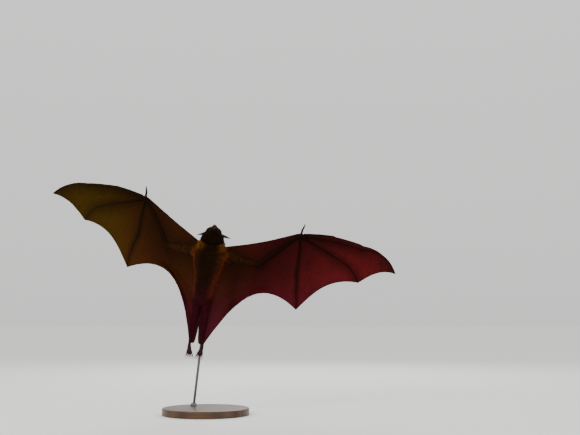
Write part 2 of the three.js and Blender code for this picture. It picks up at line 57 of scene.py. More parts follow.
# Angles are in degrees in the flat wing, from straight out towards the head.
# "shade" is how far in mm the broad painted shade spreads from the arm; it is wider on the left wing, which
# is painted darker as if turned from the light.
POSES = {
    "left": {"side": 1, "humerus": -8, "forearm": 42, "thumb": 76, "second": [6.5],
             "third": [-3, -10, -29], "fourth": [-25, -27, -51], "fifth": [-89, -85, -83],
             "corner": (6, 29), "sag": 6, "tip_bow": 23, "scallop": (0.045, 0.178),
             "from_ankle": (76, 150), "from_tip": (-130, 99), "shade": 108},
    "right": {"side": -1, "humerus": 4, "forearm": 60, "thumb": 98, "second": [15],
              "third": [10, -2, -19], "fourth": [-15, -18, -50], "fifth": [-80, -72, -87],
              "corner": (3, 38), "sag": 3, "tip_bow": 15, "scallop": (0.045, 0.18),
              "from_ankle": (40, 165), "from_tip": (-148, 71), "shade": 80},
}
WRIST_REACH, WRIST_RADIUS = 13.0, 8.2
SPREAD = {"second": 4.8, "third": 0.6, "fourth": -1.2, "fifth": 0.0}
BOWS = {"second": [1.5], "fourth": [0, 1, 4], "fifth": [2, 2, 2]}
OCCIPUT = np.array([2.5, 8.0, 15.0])
FACE_PITCH, FACE_TURN, FACE_LENGTH = 40.0, 14.0, 59.0
EYE = {"radius": 5.6, "out": 18.9, "along": 34.0, "up": 6.5}
EAR = {"length": 30.0, "half_width": 7.0, "out": 29.0, "along": 16.5, "up": 10.0}
# Leg joints: x of the middle between the legs, how far out, y and z.
LEGS = {"hip": (-4.5, 12.5, -4, -172), "knee": (-5, 17, 2, -243), "ankle": (-1.5, 20.5, -22, -318)}
FOOT_LENGTH, TOE_LENGTH, TOE_SPACING, TOE_FAN = 20.5, 15.0, 3.4, 6.5
CLAWS = {"thumb": (14.5, 2.45, 80), "digit": (7, 1.1, 50), "foot": (12, 1.6, 75)}  # length, radius, hook
WEB_HALF, TAIL_WEB_HALF = 0.36, 0.4  # half the thickness of the membranes
SIDES = {"left": 1, "right": -1}
DIGITS = ("second", "third", "fourth", "fifth")
CHEST_MIDDLE, LEGS_MIDDLE = 3, -3  # x of the middle plane at the chest and between the legs
HIP_HEIGHT, ANKLE_HEIGHT = LEGS["hip"][3], LEGS["ankle"][3]
VOXELS = {"head": 0.6, "body": 1.4, "foot": 0.55, "hand": 0.8}
STAND_RADIUS, STAND_HEIGHT, STAND_BEVEL, STAND_CHAMFER = 135.0, 22.0, 4.0, 1.5
ROD_FOOT, ROD_TOP, ROD_RADIUS = (-43.0, 56.0, 23.0), (5.0, 26.0, 432.0), 4.0
ROD_SINK = 7  # how far the rod runs on into the coat of the lower back
COLLAR_RADIUS, COLLAR_HEIGHT, COLLAR_BEVEL = 11.0, 9.3, 1.5

# Cross sections from crotch to nose: x, y, z, half width, belly, back, pitch, turn, coat depth.
TRUNK_SECTIONS = [
    (-5, -7, -191, 6, 6, 6, 0, 0, 2),
    (-5, -6, -182, 19, 17, 18, 0, 0, 3),
    (-5, -5, -163, 27, 24, 25, 0, 0, 4.5),
    (-4, -3, -130, 30, 29, 28, 0, 0, 5.5),
    (0, 0, -97, 37, 34, 33, 0, 0, 6),
    (2, 1, -63, 44, 38, 36, 0, 0, 6.5),
    (3, 2, -30, 46, 39, 37, 0, 0, 7),
    (3, 3, -6, 43, 36, 35, 12, 4, 7.5),
]
# Head sections: along, up, half width, chin, crown, coat depth.
HEAD_SECTIONS = [
    (0, 0, 37, 29, 29, 6.5),
    (12, 0, 34.5, 25, 26, 5.2),
    (22, 0, 31, 21.5, 23, 4.2),
    (32, 0, 26, 17.5, 18, 3.2),
    (41, -1, 20, 14, 13.5, 2.2),
    (50, -2, 14, 11, 10.5, 1.3),
    (FACE_LENGTH, -2.5, 8, 7.6, 7, 0.5),
]

# ------------------------------------------------------------------ camera, floor and light

CAMERA_PLACE, CAMERA_TILT, CAMERA_LENS = (0.2615, -3.001, 0.300), 96, 59.11  # metres, degrees, mm

scene = bpy.context.scene
camera = bpy.data.objects.new("camera", bpy.data.cameras.new("camera"))
scene.collection.objects.link(camera)
camera.location = CAMERA_PLACE
camera.rotation_euler = (math.radians(CAMERA_TILT), 0, 0)
camera.data.sensor_width = 36
camera.data.lens = CAMERA_LENS
camera.data.clip_start, camera.data.clip_end = 0.05, 100
scene.camera = camera


def soft_light(name, place, aim, size, power, colour):
    lamp = bpy.data.lights.new(name, "AREA")
    lamp.shape, lamp.size, lamp.energy, lamp.color = "DISK", size, power, colour
    lamp_object = bpy.data.objects.new(name, lamp)
    scene.collection.objects.link(lamp_object)
    lamp_object.location = place
    way = np.subtract(aim, place)
    pitch = math.atan2(math.hypot(way[0], way[1]), -way[2])
    lamp_object.rotation_euler = (pitch, 0, math.atan2(-way[0], way[1]))


soft_light("key", (-1.9, -2.6, 1.9), (0, 0, 0.5), 1.6, 70, (1, 0.98, 0.95))
soft_light("fill", (2.4, -2.2, 0.9), (0, 0, 0.5), 1.8, 22, (0.97, 0.98, 1))
soft_light("back", (0.4, 2.6, 2.2), (0, 0, 0.5), 1.8, 50, (1, 1, 1))

# ------------------------------------------------------------------ small tools


def smoothstep(x, low, high):
    k = np.clip((x - low) / (high - low), 0, 1)
    return k * k * (3 - 2 * k)


def unit(v):
    return v / np.maximum(np.linalg.norm(v, axis=-1, keepdims=True), 1e-9)


def between(a, b, share):
    return a * (1 - share[..., None]) + b * share[..., None]


def turn(axis, degrees):
    c, s = math.cos(math.radians(degrees)), math.sin(math.radians(degrees))
    m = np.eye(3)
    i, j = [(1, 2), (2, 0), (0, 1)][axis]
    m[i, i] = m[j, j] = c
    m[i, j], m[j, i] = -s, s
    return m


BODY_TURN = turn(0, ATTITUDE[0]) @ turn(1, ATTITUDE[1]) @ turn(2, ATTITUDE[2])


def in_world(points):
    return (np.asarray(points) @ BODY_TURN.T + THROAT) / 1000


def spline(points, at):
    """Catmull-Rom through the points, which lie at whole numbers."""
    points = np.asarray(points, float)
    at = np.clip(at, 0, len(points) - 1)
    i = np.minimum(at.astype(int), len(points) - 2)
    k = (at - i)[..., None]
    padded = np.vstack([2 * points[0] - points[1], points, 2 * points[-1] - points[-2]])
    a, b, c, d = (padded[i + j] for j in range(4))
    return b + 0.5 * k * (c - a + k * (2 * a - 5 * b + 4 * c - d + k * (3 * (b - c) + d - a)))


def ripple(points, length, seed, waves=7):
    """Smooth noise of about unit size, made of a few plane waves of that length."""
    dice = np.random.default_rng(seed)
    total = 0
    for _ in range(waves):
        wave = unit(dice.normal(size=3)) * 2 * math.pi / length * dice.uniform(0.6, 1.5)
        total = total + np.sin(points @ wave + dice.uniform(0, 6.28))
    return total / math.sqrt(waves) * 0.8


def make(name, points, faces, material, attributes=None, uv=None, place=in_world):
    """A mesh object from body-frame points and a list of arrays of triangles or quads."""
    groups = [np.asarray(f, np.int32) for f in faces]
    loops = np.concatenate([f.ravel() for f in groups])
    sizes = np.concatenate([np.full(len(f), f.shape[1], np.int32) for f in groups])
    mesh = bpy.data.meshes.new(name)
    mesh.vertices.add(len(points))
    mesh.vertices.foreach_set("co", place(points).astype(np.float32).ravel())
    mesh.loops.add(len(loops))
    mesh.loops.foreach_set("vertex_index", loops)
    mesh.polygons.add(len(sizes))
    mesh.polygons.foreach_set("loop_start", np.concatenate([[0], np.cumsum(sizes)[:-1]]).astype(np.int32))
    mesh.polygons.foreach_set("loop_total", sizes)
    mesh.polygons.foreach_set("use_smooth", np.full(len(sizes), True))
    mesh.materials.append(material)
    for key, values in (attributes or {}).items():
        layer = mesh.attributes.new(key, "FLOAT", "POINT")
        layer.data.foreach_set("value", np.asarray(values, np.float32))
    if uv is not None:
        layer = mesh.uv_layers.new(name="OFBake")
        layer.data.foreach_set("uv", uv[loops].astype(np.float32).ravel())
    mesh.update()
    made = bpy.data.objects.new(name, mesh)
    scene.collection.objects.link(made)
    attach(made, "root")
    return made


def gather(parts):
    """Several (points, [faces], {attribute: values}) as one."""
    points, faces, values, start = [], [], {}, 0
    keys = sorted({key for part in parts for key in part[2]})
    for part_points, part_faces, part_values in parts:
        points.append(part_points)
        faces += [np.asarray(f) + start for f in part_faces]
        for key in keys:
            values.setdefault(key, []).append(part_values.get(key, np.zeros(len(part_points))))
        start += len(part_points)
    return np.vstack(points), faces, {key: np.concatenate(v) for key, v in values.items()}


def triangles(faces):
    out = []
    for f in faces:
        f = np.asarray(f)
        out.append(f if f.shape[1] == 3 else np.vstack([f[:, [0, 1, 2]], f[:, [0, 2, 3]]]))
    return np.vstack(out)


def normals_of(points, tris):
    a, b, c = (points[tris[:, k]] for k in range(3))
    face = np.cross(b - a, c - a)
    total = np.zeros_like(points)
    for k in range(3):
        for axis in range(3):
            total[:, axis] += np.bincount(tris[:, k], face[:, axis], len(points))
    return unit(total)


def grid_faces(rows, columns):
    index = np.arange(rows * columns).reshape(rows, columns)
    return np.stack([index[:-1, :-1], index[:-1, 1:], index[1:, 1:], index[1:, :-1]], -1).reshape(-1, 4)


def ring_faces(rings, sides):
    """Faces of stacked rings of points, closed by two end points that come after them."""
    index = np.arange(rings * sides).reshape(rings, sides)
    nxt = np.roll(index, -1, axis=1)
    quads = np.stack([index[:-1], nxt[:-1], nxt[1:], index[1:]], -1).reshape(-1, 4)
    ends = np.vstack([
        np.stack([nxt[0], index[0], np.full(sides, index.size)], -1),
        np.stack([index[-1], nxt[-1], np.full(sides, index.size + 1)], -1),
    ])
    return [quads, ends]


def tube(line, radii, sides, flat=1.0, up=(0, 1, 0)):
    """A closed tube through the points of a line: radii may differ along it."""
    line = np.asarray(line, float)
    along = unit(np.gradient(line, axis=0))
    across = unit(np.cross(along, np.broadcast_to(up, along.shape)))
    rise = np.cross(across, along)
    angle = np.linspace(0, 2 * math.pi, sides, endpoint=False)
    radii = np.broadcast_to(radii, len(line))[:, None, None]
    ring = across[:, None] * np.cos(angle)[:, None] + rise[:, None] * flat * np.sin(angle)[:, None]
    points = (line[:, None] + ring * radii).reshape(-1, 3)
    return np.vstack([points, line[:1], line[-1:]]), ring_faces(len(line), sides)


# ------------------------------------------------------------------ fields: distance to the flesh


def smin(a, b, k):
    h = np.clip(0.5 + 0.5 * (b - a) / k, 0, 1)
    return b + (a - b) * h - k * h * (1 - h)


def smax(a, b, k):
    return -smin(-a, -b, k)


def cone(p, a, b, ra, rb):
    a, b = np.asarray(a, np.float32), np.asarray(b, np.float32)
    way = b - a
    t = np.clip((p - a) @ way / (way @ way), 0, 1)
    return np.linalg.norm(p - a - t[:, None] * way, axis=1) - (ra + (rb - ra) * t)


def ellipsoid(p, centre, radii):
    q = p - np.asarray(centre, np.float32)
    radii = np.asarray(radii, np.float32)
    k0 = np.linalg.norm(q / radii, axis=1)
    k1 = np.linalg.norm(q / radii**2, axis=1)
    return k0 * (k0 - 1) / np.maximum(k1, 1e-6)


def frame_of(pitch, yaw):
    """Rows: out to the left, along the neck, and up to the back."""
    level = turn(2, yaw)
    c, s = math.cos(math.radians(pitch)), math.sin(math.radians(pitch))
    return np.array([level @ (1, 0, 0), level @ (0, -s, c), level @ (0, c, s)])


FACE = frame_of(FACE_PITCH, FACE_TURN)


def in_head(out, along, up):
    return OCCIPUT + out * FACE[0] + along * FACE[1] + up * FACE[2]


SECTIONS = [list(s) for s in TRUNK_SECTIONS]
for along, up, width, chin, crown, depth in HEAD_SECTIONS:
    SECTIONS.append([*in_head(0, along, up), width, chin, crown, FACE_PITCH, FACE_TURN, depth])
SECTIONS = np.array(SECTIONS)
NOSE = len(SECTIONS) - 1  # the section number at the nose; the collar is at 7, the occiput at 8
STEPS = 6
FINE = spline(SECTIONS, np.linspace(0, NOSE, NOSE * STEPS + 1))
for column in (6, 7):
    FINE[:, column] = np.interp(np.linspace(0, NOSE, len(FINE)), np.arange(NOSE + 1), SECTIONS[:, column])
FINE_FRAMES = np.array([frame_of(row[6], row[7]) for row in FINE])


def section_number(p):
    """Which cross section each point lies in, as a real number."""
    p = np.asarray(p, np.float32)
    ahead = lambda k: (p - FINE[k, :3].astype(np.float32)) @ FINE_FRAMES[k, 1].astype(np.float32)
    number = np.full(len(p), float(NOSE), np.float32)
    last = ahead(len(FINE) - 1)
    for k in range(len(FINE) - 1, 0, -1):
        before = ahead(k - 1)
        share = np.clip(before / np.maximum(before - last, 1e-3), 0, 1)
        number = np.where(last < 0, (k - 1 + share) / STEPS, number)
        last = before
    return np.where(last < 0, 0, number)


def body_polar(p, number):
    """Out and up within the section, and half width, depth and coat depth there."""
    p = np.asarray(p, np.float32)
    at = np.clip(number * STEPS, 0, len(FINE) - 1.001)
    i = at.astype(int)
    k = (at - i)[:, None]
    row = (FINE[i] * (1 - k) + FINE[i + 1] * k).astype(np.float32)
    axes = (FINE_FRAMES[i] * (1 - k[..., None]) + FINE_FRAMES[i + 1] * k[..., None]).astype(np.float32)
    q = p - row[:, :3]
    x = np.einsum("ij,ij->i", q, axes[:, 0])
    y = np.einsum("ij,ij->i", q, axes[:, 2])
    return x, y, row[:, 3], np.where(y > 0, row[:, 5], row[:, 4]), row[:, 8]


def round_body(p):
    """The section number of each point, and its angle round the body, 0 at the belly."""
    number = section_number(p)
    x, y, _, _, _ = body_polar(p, number)
    return number, np.arctan2(x, -y)


def loft(p):
    """Trunk, neck and head under the coat."""
    p = np.asarray(p, np.float32)
    number = section_number(p)
    x, y, width, depth, coat = body_polar(p, number)
    width, depth = width - coat, depth - coat
    rho = np.sqrt((x / width) ** 2 + (y / depth) ** 2)
    slope = np.sqrt((x / width**2) ** 2 + (y / depth**2) ** 2)
    distance = (rho - 1) * rho / np.maximum(slope, 1e-4)
    ends = [(p - FINE[k, :3].astype(np.float32)) @ FINE_FRAMES[k, 1].astype(np.float32) for k in (0, -1)]
    return smax(smax(distance, -ends[0], 3), ends[1], 3)


def leg_joint(name, side):
    middle, out, y, z = LEGS[name]
    return np.array([middle + side * out, y, z], float)


def legs_field(p):
    p, total = np.asarray(p, np.float32), None
    for side in (1, -1):
        hip, knee, ankle = (leg_joint(name, side) for name in ("hip", "knee", "ankle"))
        calf = knee + (ankle - knee) * 0.3 + (0, 2.5, 0)
        leg = smin(cone(p, hip, knee, 10.2, 6.6), cone(p, knee, ankle, 6.4, 3.6), 4)
        leg = smin(leg, ellipsoid(p, calf, (4.6, 5.2, 15)), 5)
        leg = smin(leg, ellipsoid(p, knee - (0, 3.5, 0), (4.6, 3.6, 6)), 4)
        total = leg if total is None else smin(total, leg, 3)
    return total


def leg_share(p, low, high):
    """0 on the trunk and 1 on the legs, by how much nearer the legs are."""
    return smoothstep(loft(p) - legs_field(p), low, high)


def heading(degrees):
    return np.array([math.cos(math.radians(degrees)), math.sin(math.radians(degrees))])


def lift(s, c):
    return 0.15 * s - 0.00034 * s * s - 0.00125 * c * c


def on_wing(side, flat, extra=0.0):
    s, c = flat[..., 0], flat[..., 1]
    h = lift(s, c) + extra
    return np.stack([
        side * (WING_JOINT[0] + s * math.cos(DIHEDRAL) - h * math.sin(DIHEDRAL)),
        WING_JOINT[1] + s * math.sin(DIHEDRAL) + h * math.cos(DIHEDRAL),
        WING_JOINT[2] + c,
    ], -1)


def shoulders_field(p):
    """Deltoids running out onto the upper arms, breast muscles and shoulder blades."""
    total = None
    for pose in POSES.values():
        side, way = pose["side"], heading(pose["humerus"])
        root, end = (on_wing(side, way * reach) for reach in (-6.0, 36.0))
        arm = cone(p, root, end, 12.0, 5.0)
        arm = smin(arm, ellipsoid(p, (side * 19 + 2, -13, -42), (19, 20, 34)), 9)
        arm = smin(arm, ellipsoid(p, (side * 20 + 2, 20, -34), (13, 12, 26)), 9)
        total = arm if total is None else smin(total, arm, 6)
    return total


def flesh(p):
    """The whole body without the finer forms of head and feet."""
    p = p.astype(np.float32)
    body = smin(loft(p), shoulders_field(p), 12)
    return smin(body, legs_field(p), 8)


EYE_AXIS = {side: unit(FACE.T @ np.array([side * 0.80, 0.52, 0.26])) for side in (1, -1)}
EYE_CENTRE = {side: in_head(side * EYE["out"], EYE["along"], EYE["up"]) for side in (1, -1)}


def mouth_line(along):
    return -6.2 + (along - 29) * 0.035 + 0.9 * np.cos((along - 29) / 32 * 2 * math.pi) - 0.5


def head_field(p):
    p = p.astype(np.float32)
    base = flesh(p)
    q = (p - OCCIPUT.astype(np.float32)) @ FACE.T.astype(np.float32)
    out, along, up = q[:, 0], q[:, 1], q[:, 2]
    wide = np.abs(out)
    q = np.stack([wide, along, up], 1)
    # Cheek muscles, brow, the bridge of the muzzle, whisker pads and chin.
    head = smin(base, ellipsoid(q, (15.5, 21, -7), (9, 13, 9)), 5)
    head = smin(head, ellipsoid(q, (10.5, 35, 10.2), (7, 8, 4.4)), 4)
    head = smin(head, ellipsoid(q, (0, 46, 4.2), (5, 17, 4.2)), 4)
    head = smin(head, ellipsoid(q, (5.6, 53.5, -2.6), (3.6, 7, 3.5)), 2.5)
    head = smin(head, ellipsoid(q, (0, 54.5, -7.6), (4.4, 5, 2.6)), 2)
    head = smax(head, -ellipsoid(q, (13.5, 44.5, 4.5), (3.6, 7, 3.6)), 4)
    # The nose: two tubular nostrils with a groove between them.
    nose = ellipsoid(q, (3.3, 60.2, -0.9), (3.3, 3.5, 3.5))
    head = smin(head, nose, 1.6)
    head = smax(head, -cone(q, (4.6, 64.5, -0.6), (3.6, 60.4, -0.9), 1.5, 0.9), 0.7)
    head = smax(head, -cone(q, (0, 65.4, 2.4), (0, 61.0, -6), 0.75, 0.55), 0.9)
    # The mouth: a thin groove, never deeper than a few millimetres.
    slit = np.abs(up - mouth_line(along)) - 0.34
    slit = smax(slit, 29.5 - along, 1.5)
    slit = smax(slit, -(base + 2.4), 0.5)
    head = smax(head, -slit, 0.9)
    # Lids and eye sockets.
    for side in (1, -1):
        mine = np.nonzero((out * side > 2) & (along > 20) & (along < 50))[0]
        r = (p[mine] - EYE_CENTRE[side].astype(np.float32))
        axis = EYE_AXIS[side]
        level = FACE.T @ np.array([0, 1.0, -0.22])
        slant = unit(level - axis * (axis @ level))
        x, y, z = r @ slant, r @ np.cross(axis, slant), r @ axis
        reach = np.linalg.norm(r, axis=1)
        opening = (np.sqrt((x / 5.15) ** 2 + (y / 4.5) ** 2) - 1) * 4.6
        mound = np.linalg.norm(r + 2.6 * axis, axis=1) - 8.0
        lid = smax(np.abs(reach - 6.3) - 0.55, -opening, 0.5)
        lid = np.maximum(lid, -z - 1)
        crease = np.abs(opening - 2.6) - 0.25
        local = smin(head[mine], mound, 3)
        local = smax(local, -smax(crease, np.abs(reach - 7.6) - 1.2, 0.4), 0.7)
        local = smin(local, lid, 0.9)
        local = smax(local, -(reach - 5.75), 0.25)
        front = np.where(z > 0, opening, 9)
        local = smax(local, -smax(front, reach - 11, 0.4), 0.5)
        head[mine] = local
    return head


def foot_way(side):
    return unit(np.array([-side * 0.16, -0.16, -1.0]))


def foot_joints(side):
    """Start and ball of the foot, then (root, end, direction) of each toe."""
    ankle, way = leg_joint("ankle", side), foot_way(side)
    start = ankle + way * 1.15
    ball = start + way * FOOT_LENGTH
    toes = []
    for i in range(5):
        place = i - 2
        out = turn(1, -place * TOE_FAN) @ way
        root = ball + np.array([place * TOE_SPACING, 0, 0]) - way * 3
        toes.append((root, root + out * TOE_LENGTH, out))
    return start, ball, toes


def foot_field(p):
    p = p.astype(np.float32)
    total = legs_field(p)
    for side in (1, -1):
        start, ball, toes = foot_joints(side)
        squeeze = np.array([1, 1.55, 1], np.float32)  # the foot is flatter than it is wide
        flat = lambda v: np.asarray(v, np.float32) * squeeze
        foot = cone(p * squeeze, flat(start), flat(ball - (0, 0.4, 0)), 5.2, 8.0) / 1.3
        foot = smin(foot, cone(p, start + (0, 2, 6), start + (0, 2.2, -6), 4.1, 3.0), 3)
        for root, end, out in toes:
            middle = root + (end - root) * 0.55 + (0, 0.5, 0)
            digit = smin(cone(p, root, middle, 1.95, 1.5), cone(p, middle, end - out * 0.6, 1.5, 1.65), 0.6)
            pad = np.linalg.norm(p - (end - out * 2 - (0, 0.7, 0)).astype(np.float32), axis=1) - 1.6
            foot = smin(foot, smin(digit, pad, 0.8), 1.1)
        wrinkle = 0.16 * np.sin(p[:, 2] * 2.4) * smoothstep(p[:, 1] - ball[1], 0, 3)
        total = smin(total, foot + wrinkle, 1.5)
    return total


def shell(field, low, high, step, ends=()):
    """The surface of a field inside a box. `ends` are (point, direction, run): there the surface
    dives under its neighbour, which goes on from that place."""
    low, high = np.array(low, float), np.array(high, float)
    size = np.ceil((high - low) / step).astype(int) + 1
    axes = [low[k] + np.arange(size[k]) * step for k in range(3)]
    values = np.empty(size, np.float32)
    slab = max(1, 400000 // (size[1] * size[2]))
    for i in range(0, size[0], slab):
        block = np.stack(np.meshgrid(axes[0][i:i + slab], axes[1], axes[2], indexing="ij"), -1)
        points = block.reshape(-1, 3)
        found = field(points)
        for place, way, run in ends:
            beyond = (points - place) @ way
            found = np.maximum(found + 0.12 * np.maximum(beyond, 0), beyond - run)
        values[i:i + slab] = found.reshape(block.shape[:3])
    for axis in range(3):  # close whatever reaches the sides of the box
        for edge in (0, -1):
            index = [slice(None)] * 3
            index[axis] = edge
            values[tuple(index)] = np.maximum(values[tuple(index)], 0.5 * step)
    grid = vdb.FloatGrid()
    grid.background = 3 * step
    grid.copyFromArray(values)
    grid.transform = vdb.createLinearTransform(voxelSize=step)
    points, tris, quads = grid.convertToPolygons(isovalue=0.0, adaptivity=0.0)
    points = np.asarray(points, float) + low
    quads = np.asarray(quads, np.int64)
    tris = np.asarray(tris, np.int64).reshape(-1, 3)
    # Outward faces: the field grows along the normal.
    a, b, c = (points[quads[:2000, k]] for k in range(3))
    middle, way = (a + b + c) / 3, unit(np.cross(b - a, c - a))
    if np.mean(field(middle + way) - field(middle - way)) < 0:
        quads, tris = quads[:, ::-1], tris[:, ::-1]
    return points, [quads] + ([tris] if len(tris) else [])


def ear(side):
    """A pointed leaf rolled into a funnel at its base, open to the front, with ribs inside."""
    root = in_head(side * EAR["out"], EAR["along"], EAR["up"])
    axis = unit(np.array([side * 0.8, 0.5, -0.22]))
    front = np.array([side * 0.25, -0.6, 1.0])
    front = unit(front - axis * (front @ axis))
    across = np.cross(axis, front)
    rows, columns = 52, 41
    v, w = np.meshgrid(np.linspace(0, 1, rows), np.linspace(-1, 1, columns), indexing="ij")
    profile = (1 - v**2.3) ** 0.8 * (0.78 + 0.22 * np.sin(math.pi * v)) + 0.03
    roll = 1.75 - 1.2 * smoothstep(v, 0.0, 0.85)
    radius = 1.22 * EAR["half_width"] * profile / roll
    rim = 0.45 * np.sin(v * 9 + side) * smoothstep(np.abs(w), 0.6, 1.0) * (1 - v)
    ribs = 0.3 * np.sin(v * 30 + 1.5 * w) * smoothstep(v, 0.12, 0.3) * (1 - v) * (1 - w**4)
    keel = 0.6 * np.exp(-(w / 0.14) ** 2) * (1 - v)
    middle = (root + axis * (EAR["length"] * v - 7 * (1 - v))[..., None]
              + across * (radius * np.sin(w * roll))[..., None]
              + front * (radius * (1 - np.cos(w * roll)) - 5 + 2 * v + rim + 2.5 * v * v)[..., None])
    thickness = (0.42 + 0.5 * (1 - v)) * np.sqrt(np.maximum(0, 1 - w**6)) * np.sqrt(1 - 0.9 * v**8)
    quads = grid_faces(rows, columns)
    points = middle.reshape(-1, 3)
    way = normals_of(points, triangles([quads]))
    centre = way.reshape(rows, columns, 3)[:, columns // 2]
    if np.mean(centre @ front) < 0:
        quads, way = quads[:, ::-1], -way
    inside = points + way * (thickness + ribs + keel).reshape(-1, 1)
    outside = points - way * thickness.reshape(-1, 1)
    return sandwich(inside, outside, quads)


def sandwich(top, bottom, quads):
    """Two copies of an open sheet, closed along their rim. The quads face the top's side."""
    count = len(top)
    directed = np.concatenate([quads[:, [k, (k + 1) % 4]] for k in range(4)])
    edges = np.sort(directed, 1)
    keys = edges[:, 0] * count + edges[:, 1]
    _, first, times = np.unique(keys, return_index=True, return_counts=True)
    rim = directed[first[times == 1]]
    rim = rim[rim[:, 0] != rim[:, 1]]
    wall = np.stack([rim[:, 1], rim[:, 0], rim[:, 0] + count, rim[:, 1] + count], 1)
    return np.vstack([top, bottom]), [quads, quads[:, ::-1] + count, wall]


# ------------------------------------------------------------------ wings


class Chain:
    """A chain of bones in the flat wing. Each takes an equal share of t."""

    def __init__(self, start, lengths, angles, bows):
        self.joints = [np.asarray(start, float)]
        self.bows = bows
        for length, angle in zip(lengths, angles):
            self.joints.append(self.joints[-1] + heading(angle) * length)

    def point(self, t):
        t = np.asarray(t, float)
        joints = np.array(self.joints)
        i = np.minimum((t * len(self.bows)).astype(int), len(self.bows) - 1)
        k = (t * len(self.bows) - i)[..., None]
        chord = joints[i + 1] - joints[i]
        ahead = unit(np.stack([-chord[..., 1], chord[..., 0]], -1))
        return joints[i] + chord * k + ahead * np.array(self.bows)[i][..., None] * 4 * k * (1 - k)

    def beside(self, t, offset):
        along = unit(self.point(np.minimum(1, t + 0.012)) - self.point(np.maximum(0, t - 0.012)))
        return self.point(t) + np.stack([-along[..., 1], along[..., 0]], -1) * np.asarray(offset)[..., None]


def skeleton(pose):
    arm = ("humerus", "forearm")
    bone = {"arm": Chain((0, 0), [BONES[name] for name in arm], [pose[name] for name in arm], [0, 3])}
    bone["wrist"] = wrist = bone["arm"].joints[2]
    for name in DIGITS:
        out = heading(pose[name][0])
        start = wrist + out * WRIST_REACH + np.array([-out[1], out[0]]) * SPREAD[name]
        first = wrist + out * BONES[name][0] - start
        lengths = [np.linalg.norm(first), *BONES[name][1:]]
        angles = [math.degrees(math.atan2(first[1], first[0])), *pose[name][1:]]
        bows = [0, 1, pose["tip_bow"]] if name == "third" else BOWS[name]
        bone[name] = Chain(start, lengths, angles, bows)
    return bone


def digit_radius(t, root, tip, joints):
    knob = sum(0.75 * np.exp(-(((t - at) / 0.028) ** 2)) for at in joints)
    return root + (tip - root) * np.sqrt(t) + knob * (1 - 0.5 * t)


RADII = {
    "second": lambda t: digit_radius(t, 2.0, 1.2, [0.5]),
    "third": lambda t: digit_radius(t, 2.8, 0.9, [1 / 3, 2 / 3]),
    "fourth": lambda t: digit_radius(t, 2.6, 0.9, [1 / 3, 2 / 3]),
    "fifth": lambda t: digit_radius(t, 2.9, 0.9, [1 / 3, 2 / 3]),
}


def arm_radius(t):
    """Under the coat on the upper arm, and bare from the elbow on."""
    upper = 9.2 - 3.2 * smoothstep(t, 0.0, 0.42)
    lower = 6.6 - 2.6 * smoothstep(t, 0.56, 0.93)
    elbow = 1.1 * np.exp(-(((t - 0.5) / 0.025) ** 2))
    return np.where(t < 0.5, upper + (6.6 - 6.0) * smoothstep(t, 0.4, 0.5), lower) + elbow


LEAD = 0.035  # the share of each digit's rows between the middle of the wrist and the digit


def digit_line(bone, name, v):
    """Flat points from the middle of the wrist to the tip of the digit."""
    t = np.clip((v - LEAD) / (1 - LEAD), 0, 1)
    within = np.clip(v / LEAD, 0, 1)[..., None]
    return bone["wrist"] * (1 - within) + bone[name].point(t) * within


NEAR = np.array([0, 0.32, 0.58, 0.78, 0.9, 0.99, 1.1, 1.3, 1.7, 2.4])


def crowded(length, left, right, middle):
    """Places from 0 to 1 for each row, crowded within a few radii of the bones at both ends."""
    def side(radius):
        share = NEAR * (radius / length)[:, None]
        return share * np.minimum(1, 0.4 / share[:, -1:])
    a, b = side(left), 1 - side(right)[:, ::-1]
    k = np.linspace(0, 1, middle + 2)[1:-1]
    return np.hstack([a, a[:, -1:] * (1 - k) + b[:, :1] * k, b])


ROWS = 130


def web_panel(side, bone, front, rear, billow, inset, middle):
    """The web between two digits, drawn in along its free edge by `inset`."""
    v = np.linspace(0, 1, ROWS)
    a, b = (on_wing(side, digit_line(bone, name, v)) for name in (front, rear))
    length = np.maximum(np.linalg.norm(a - b, axis=1), 1e-3)
    u = crowded(length, RADII[front](v), RADII[rear](v), middle)
    vv = np.broadcast_to(v[:, None], u.shape)
    t = vv * (1 - inset * 4 * u * (1 - u))
    a, b = (on_wing(side, digit_line(bone, name, t)) for name in (front, rear))
    rise = billow * np.sin(math.pi * u) * np.sin(math.pi * np.clip(0.12 + 0.75 * vv, 0, 1))
    points = between(a, b, u)
    points[..., 1] += rise
    return points


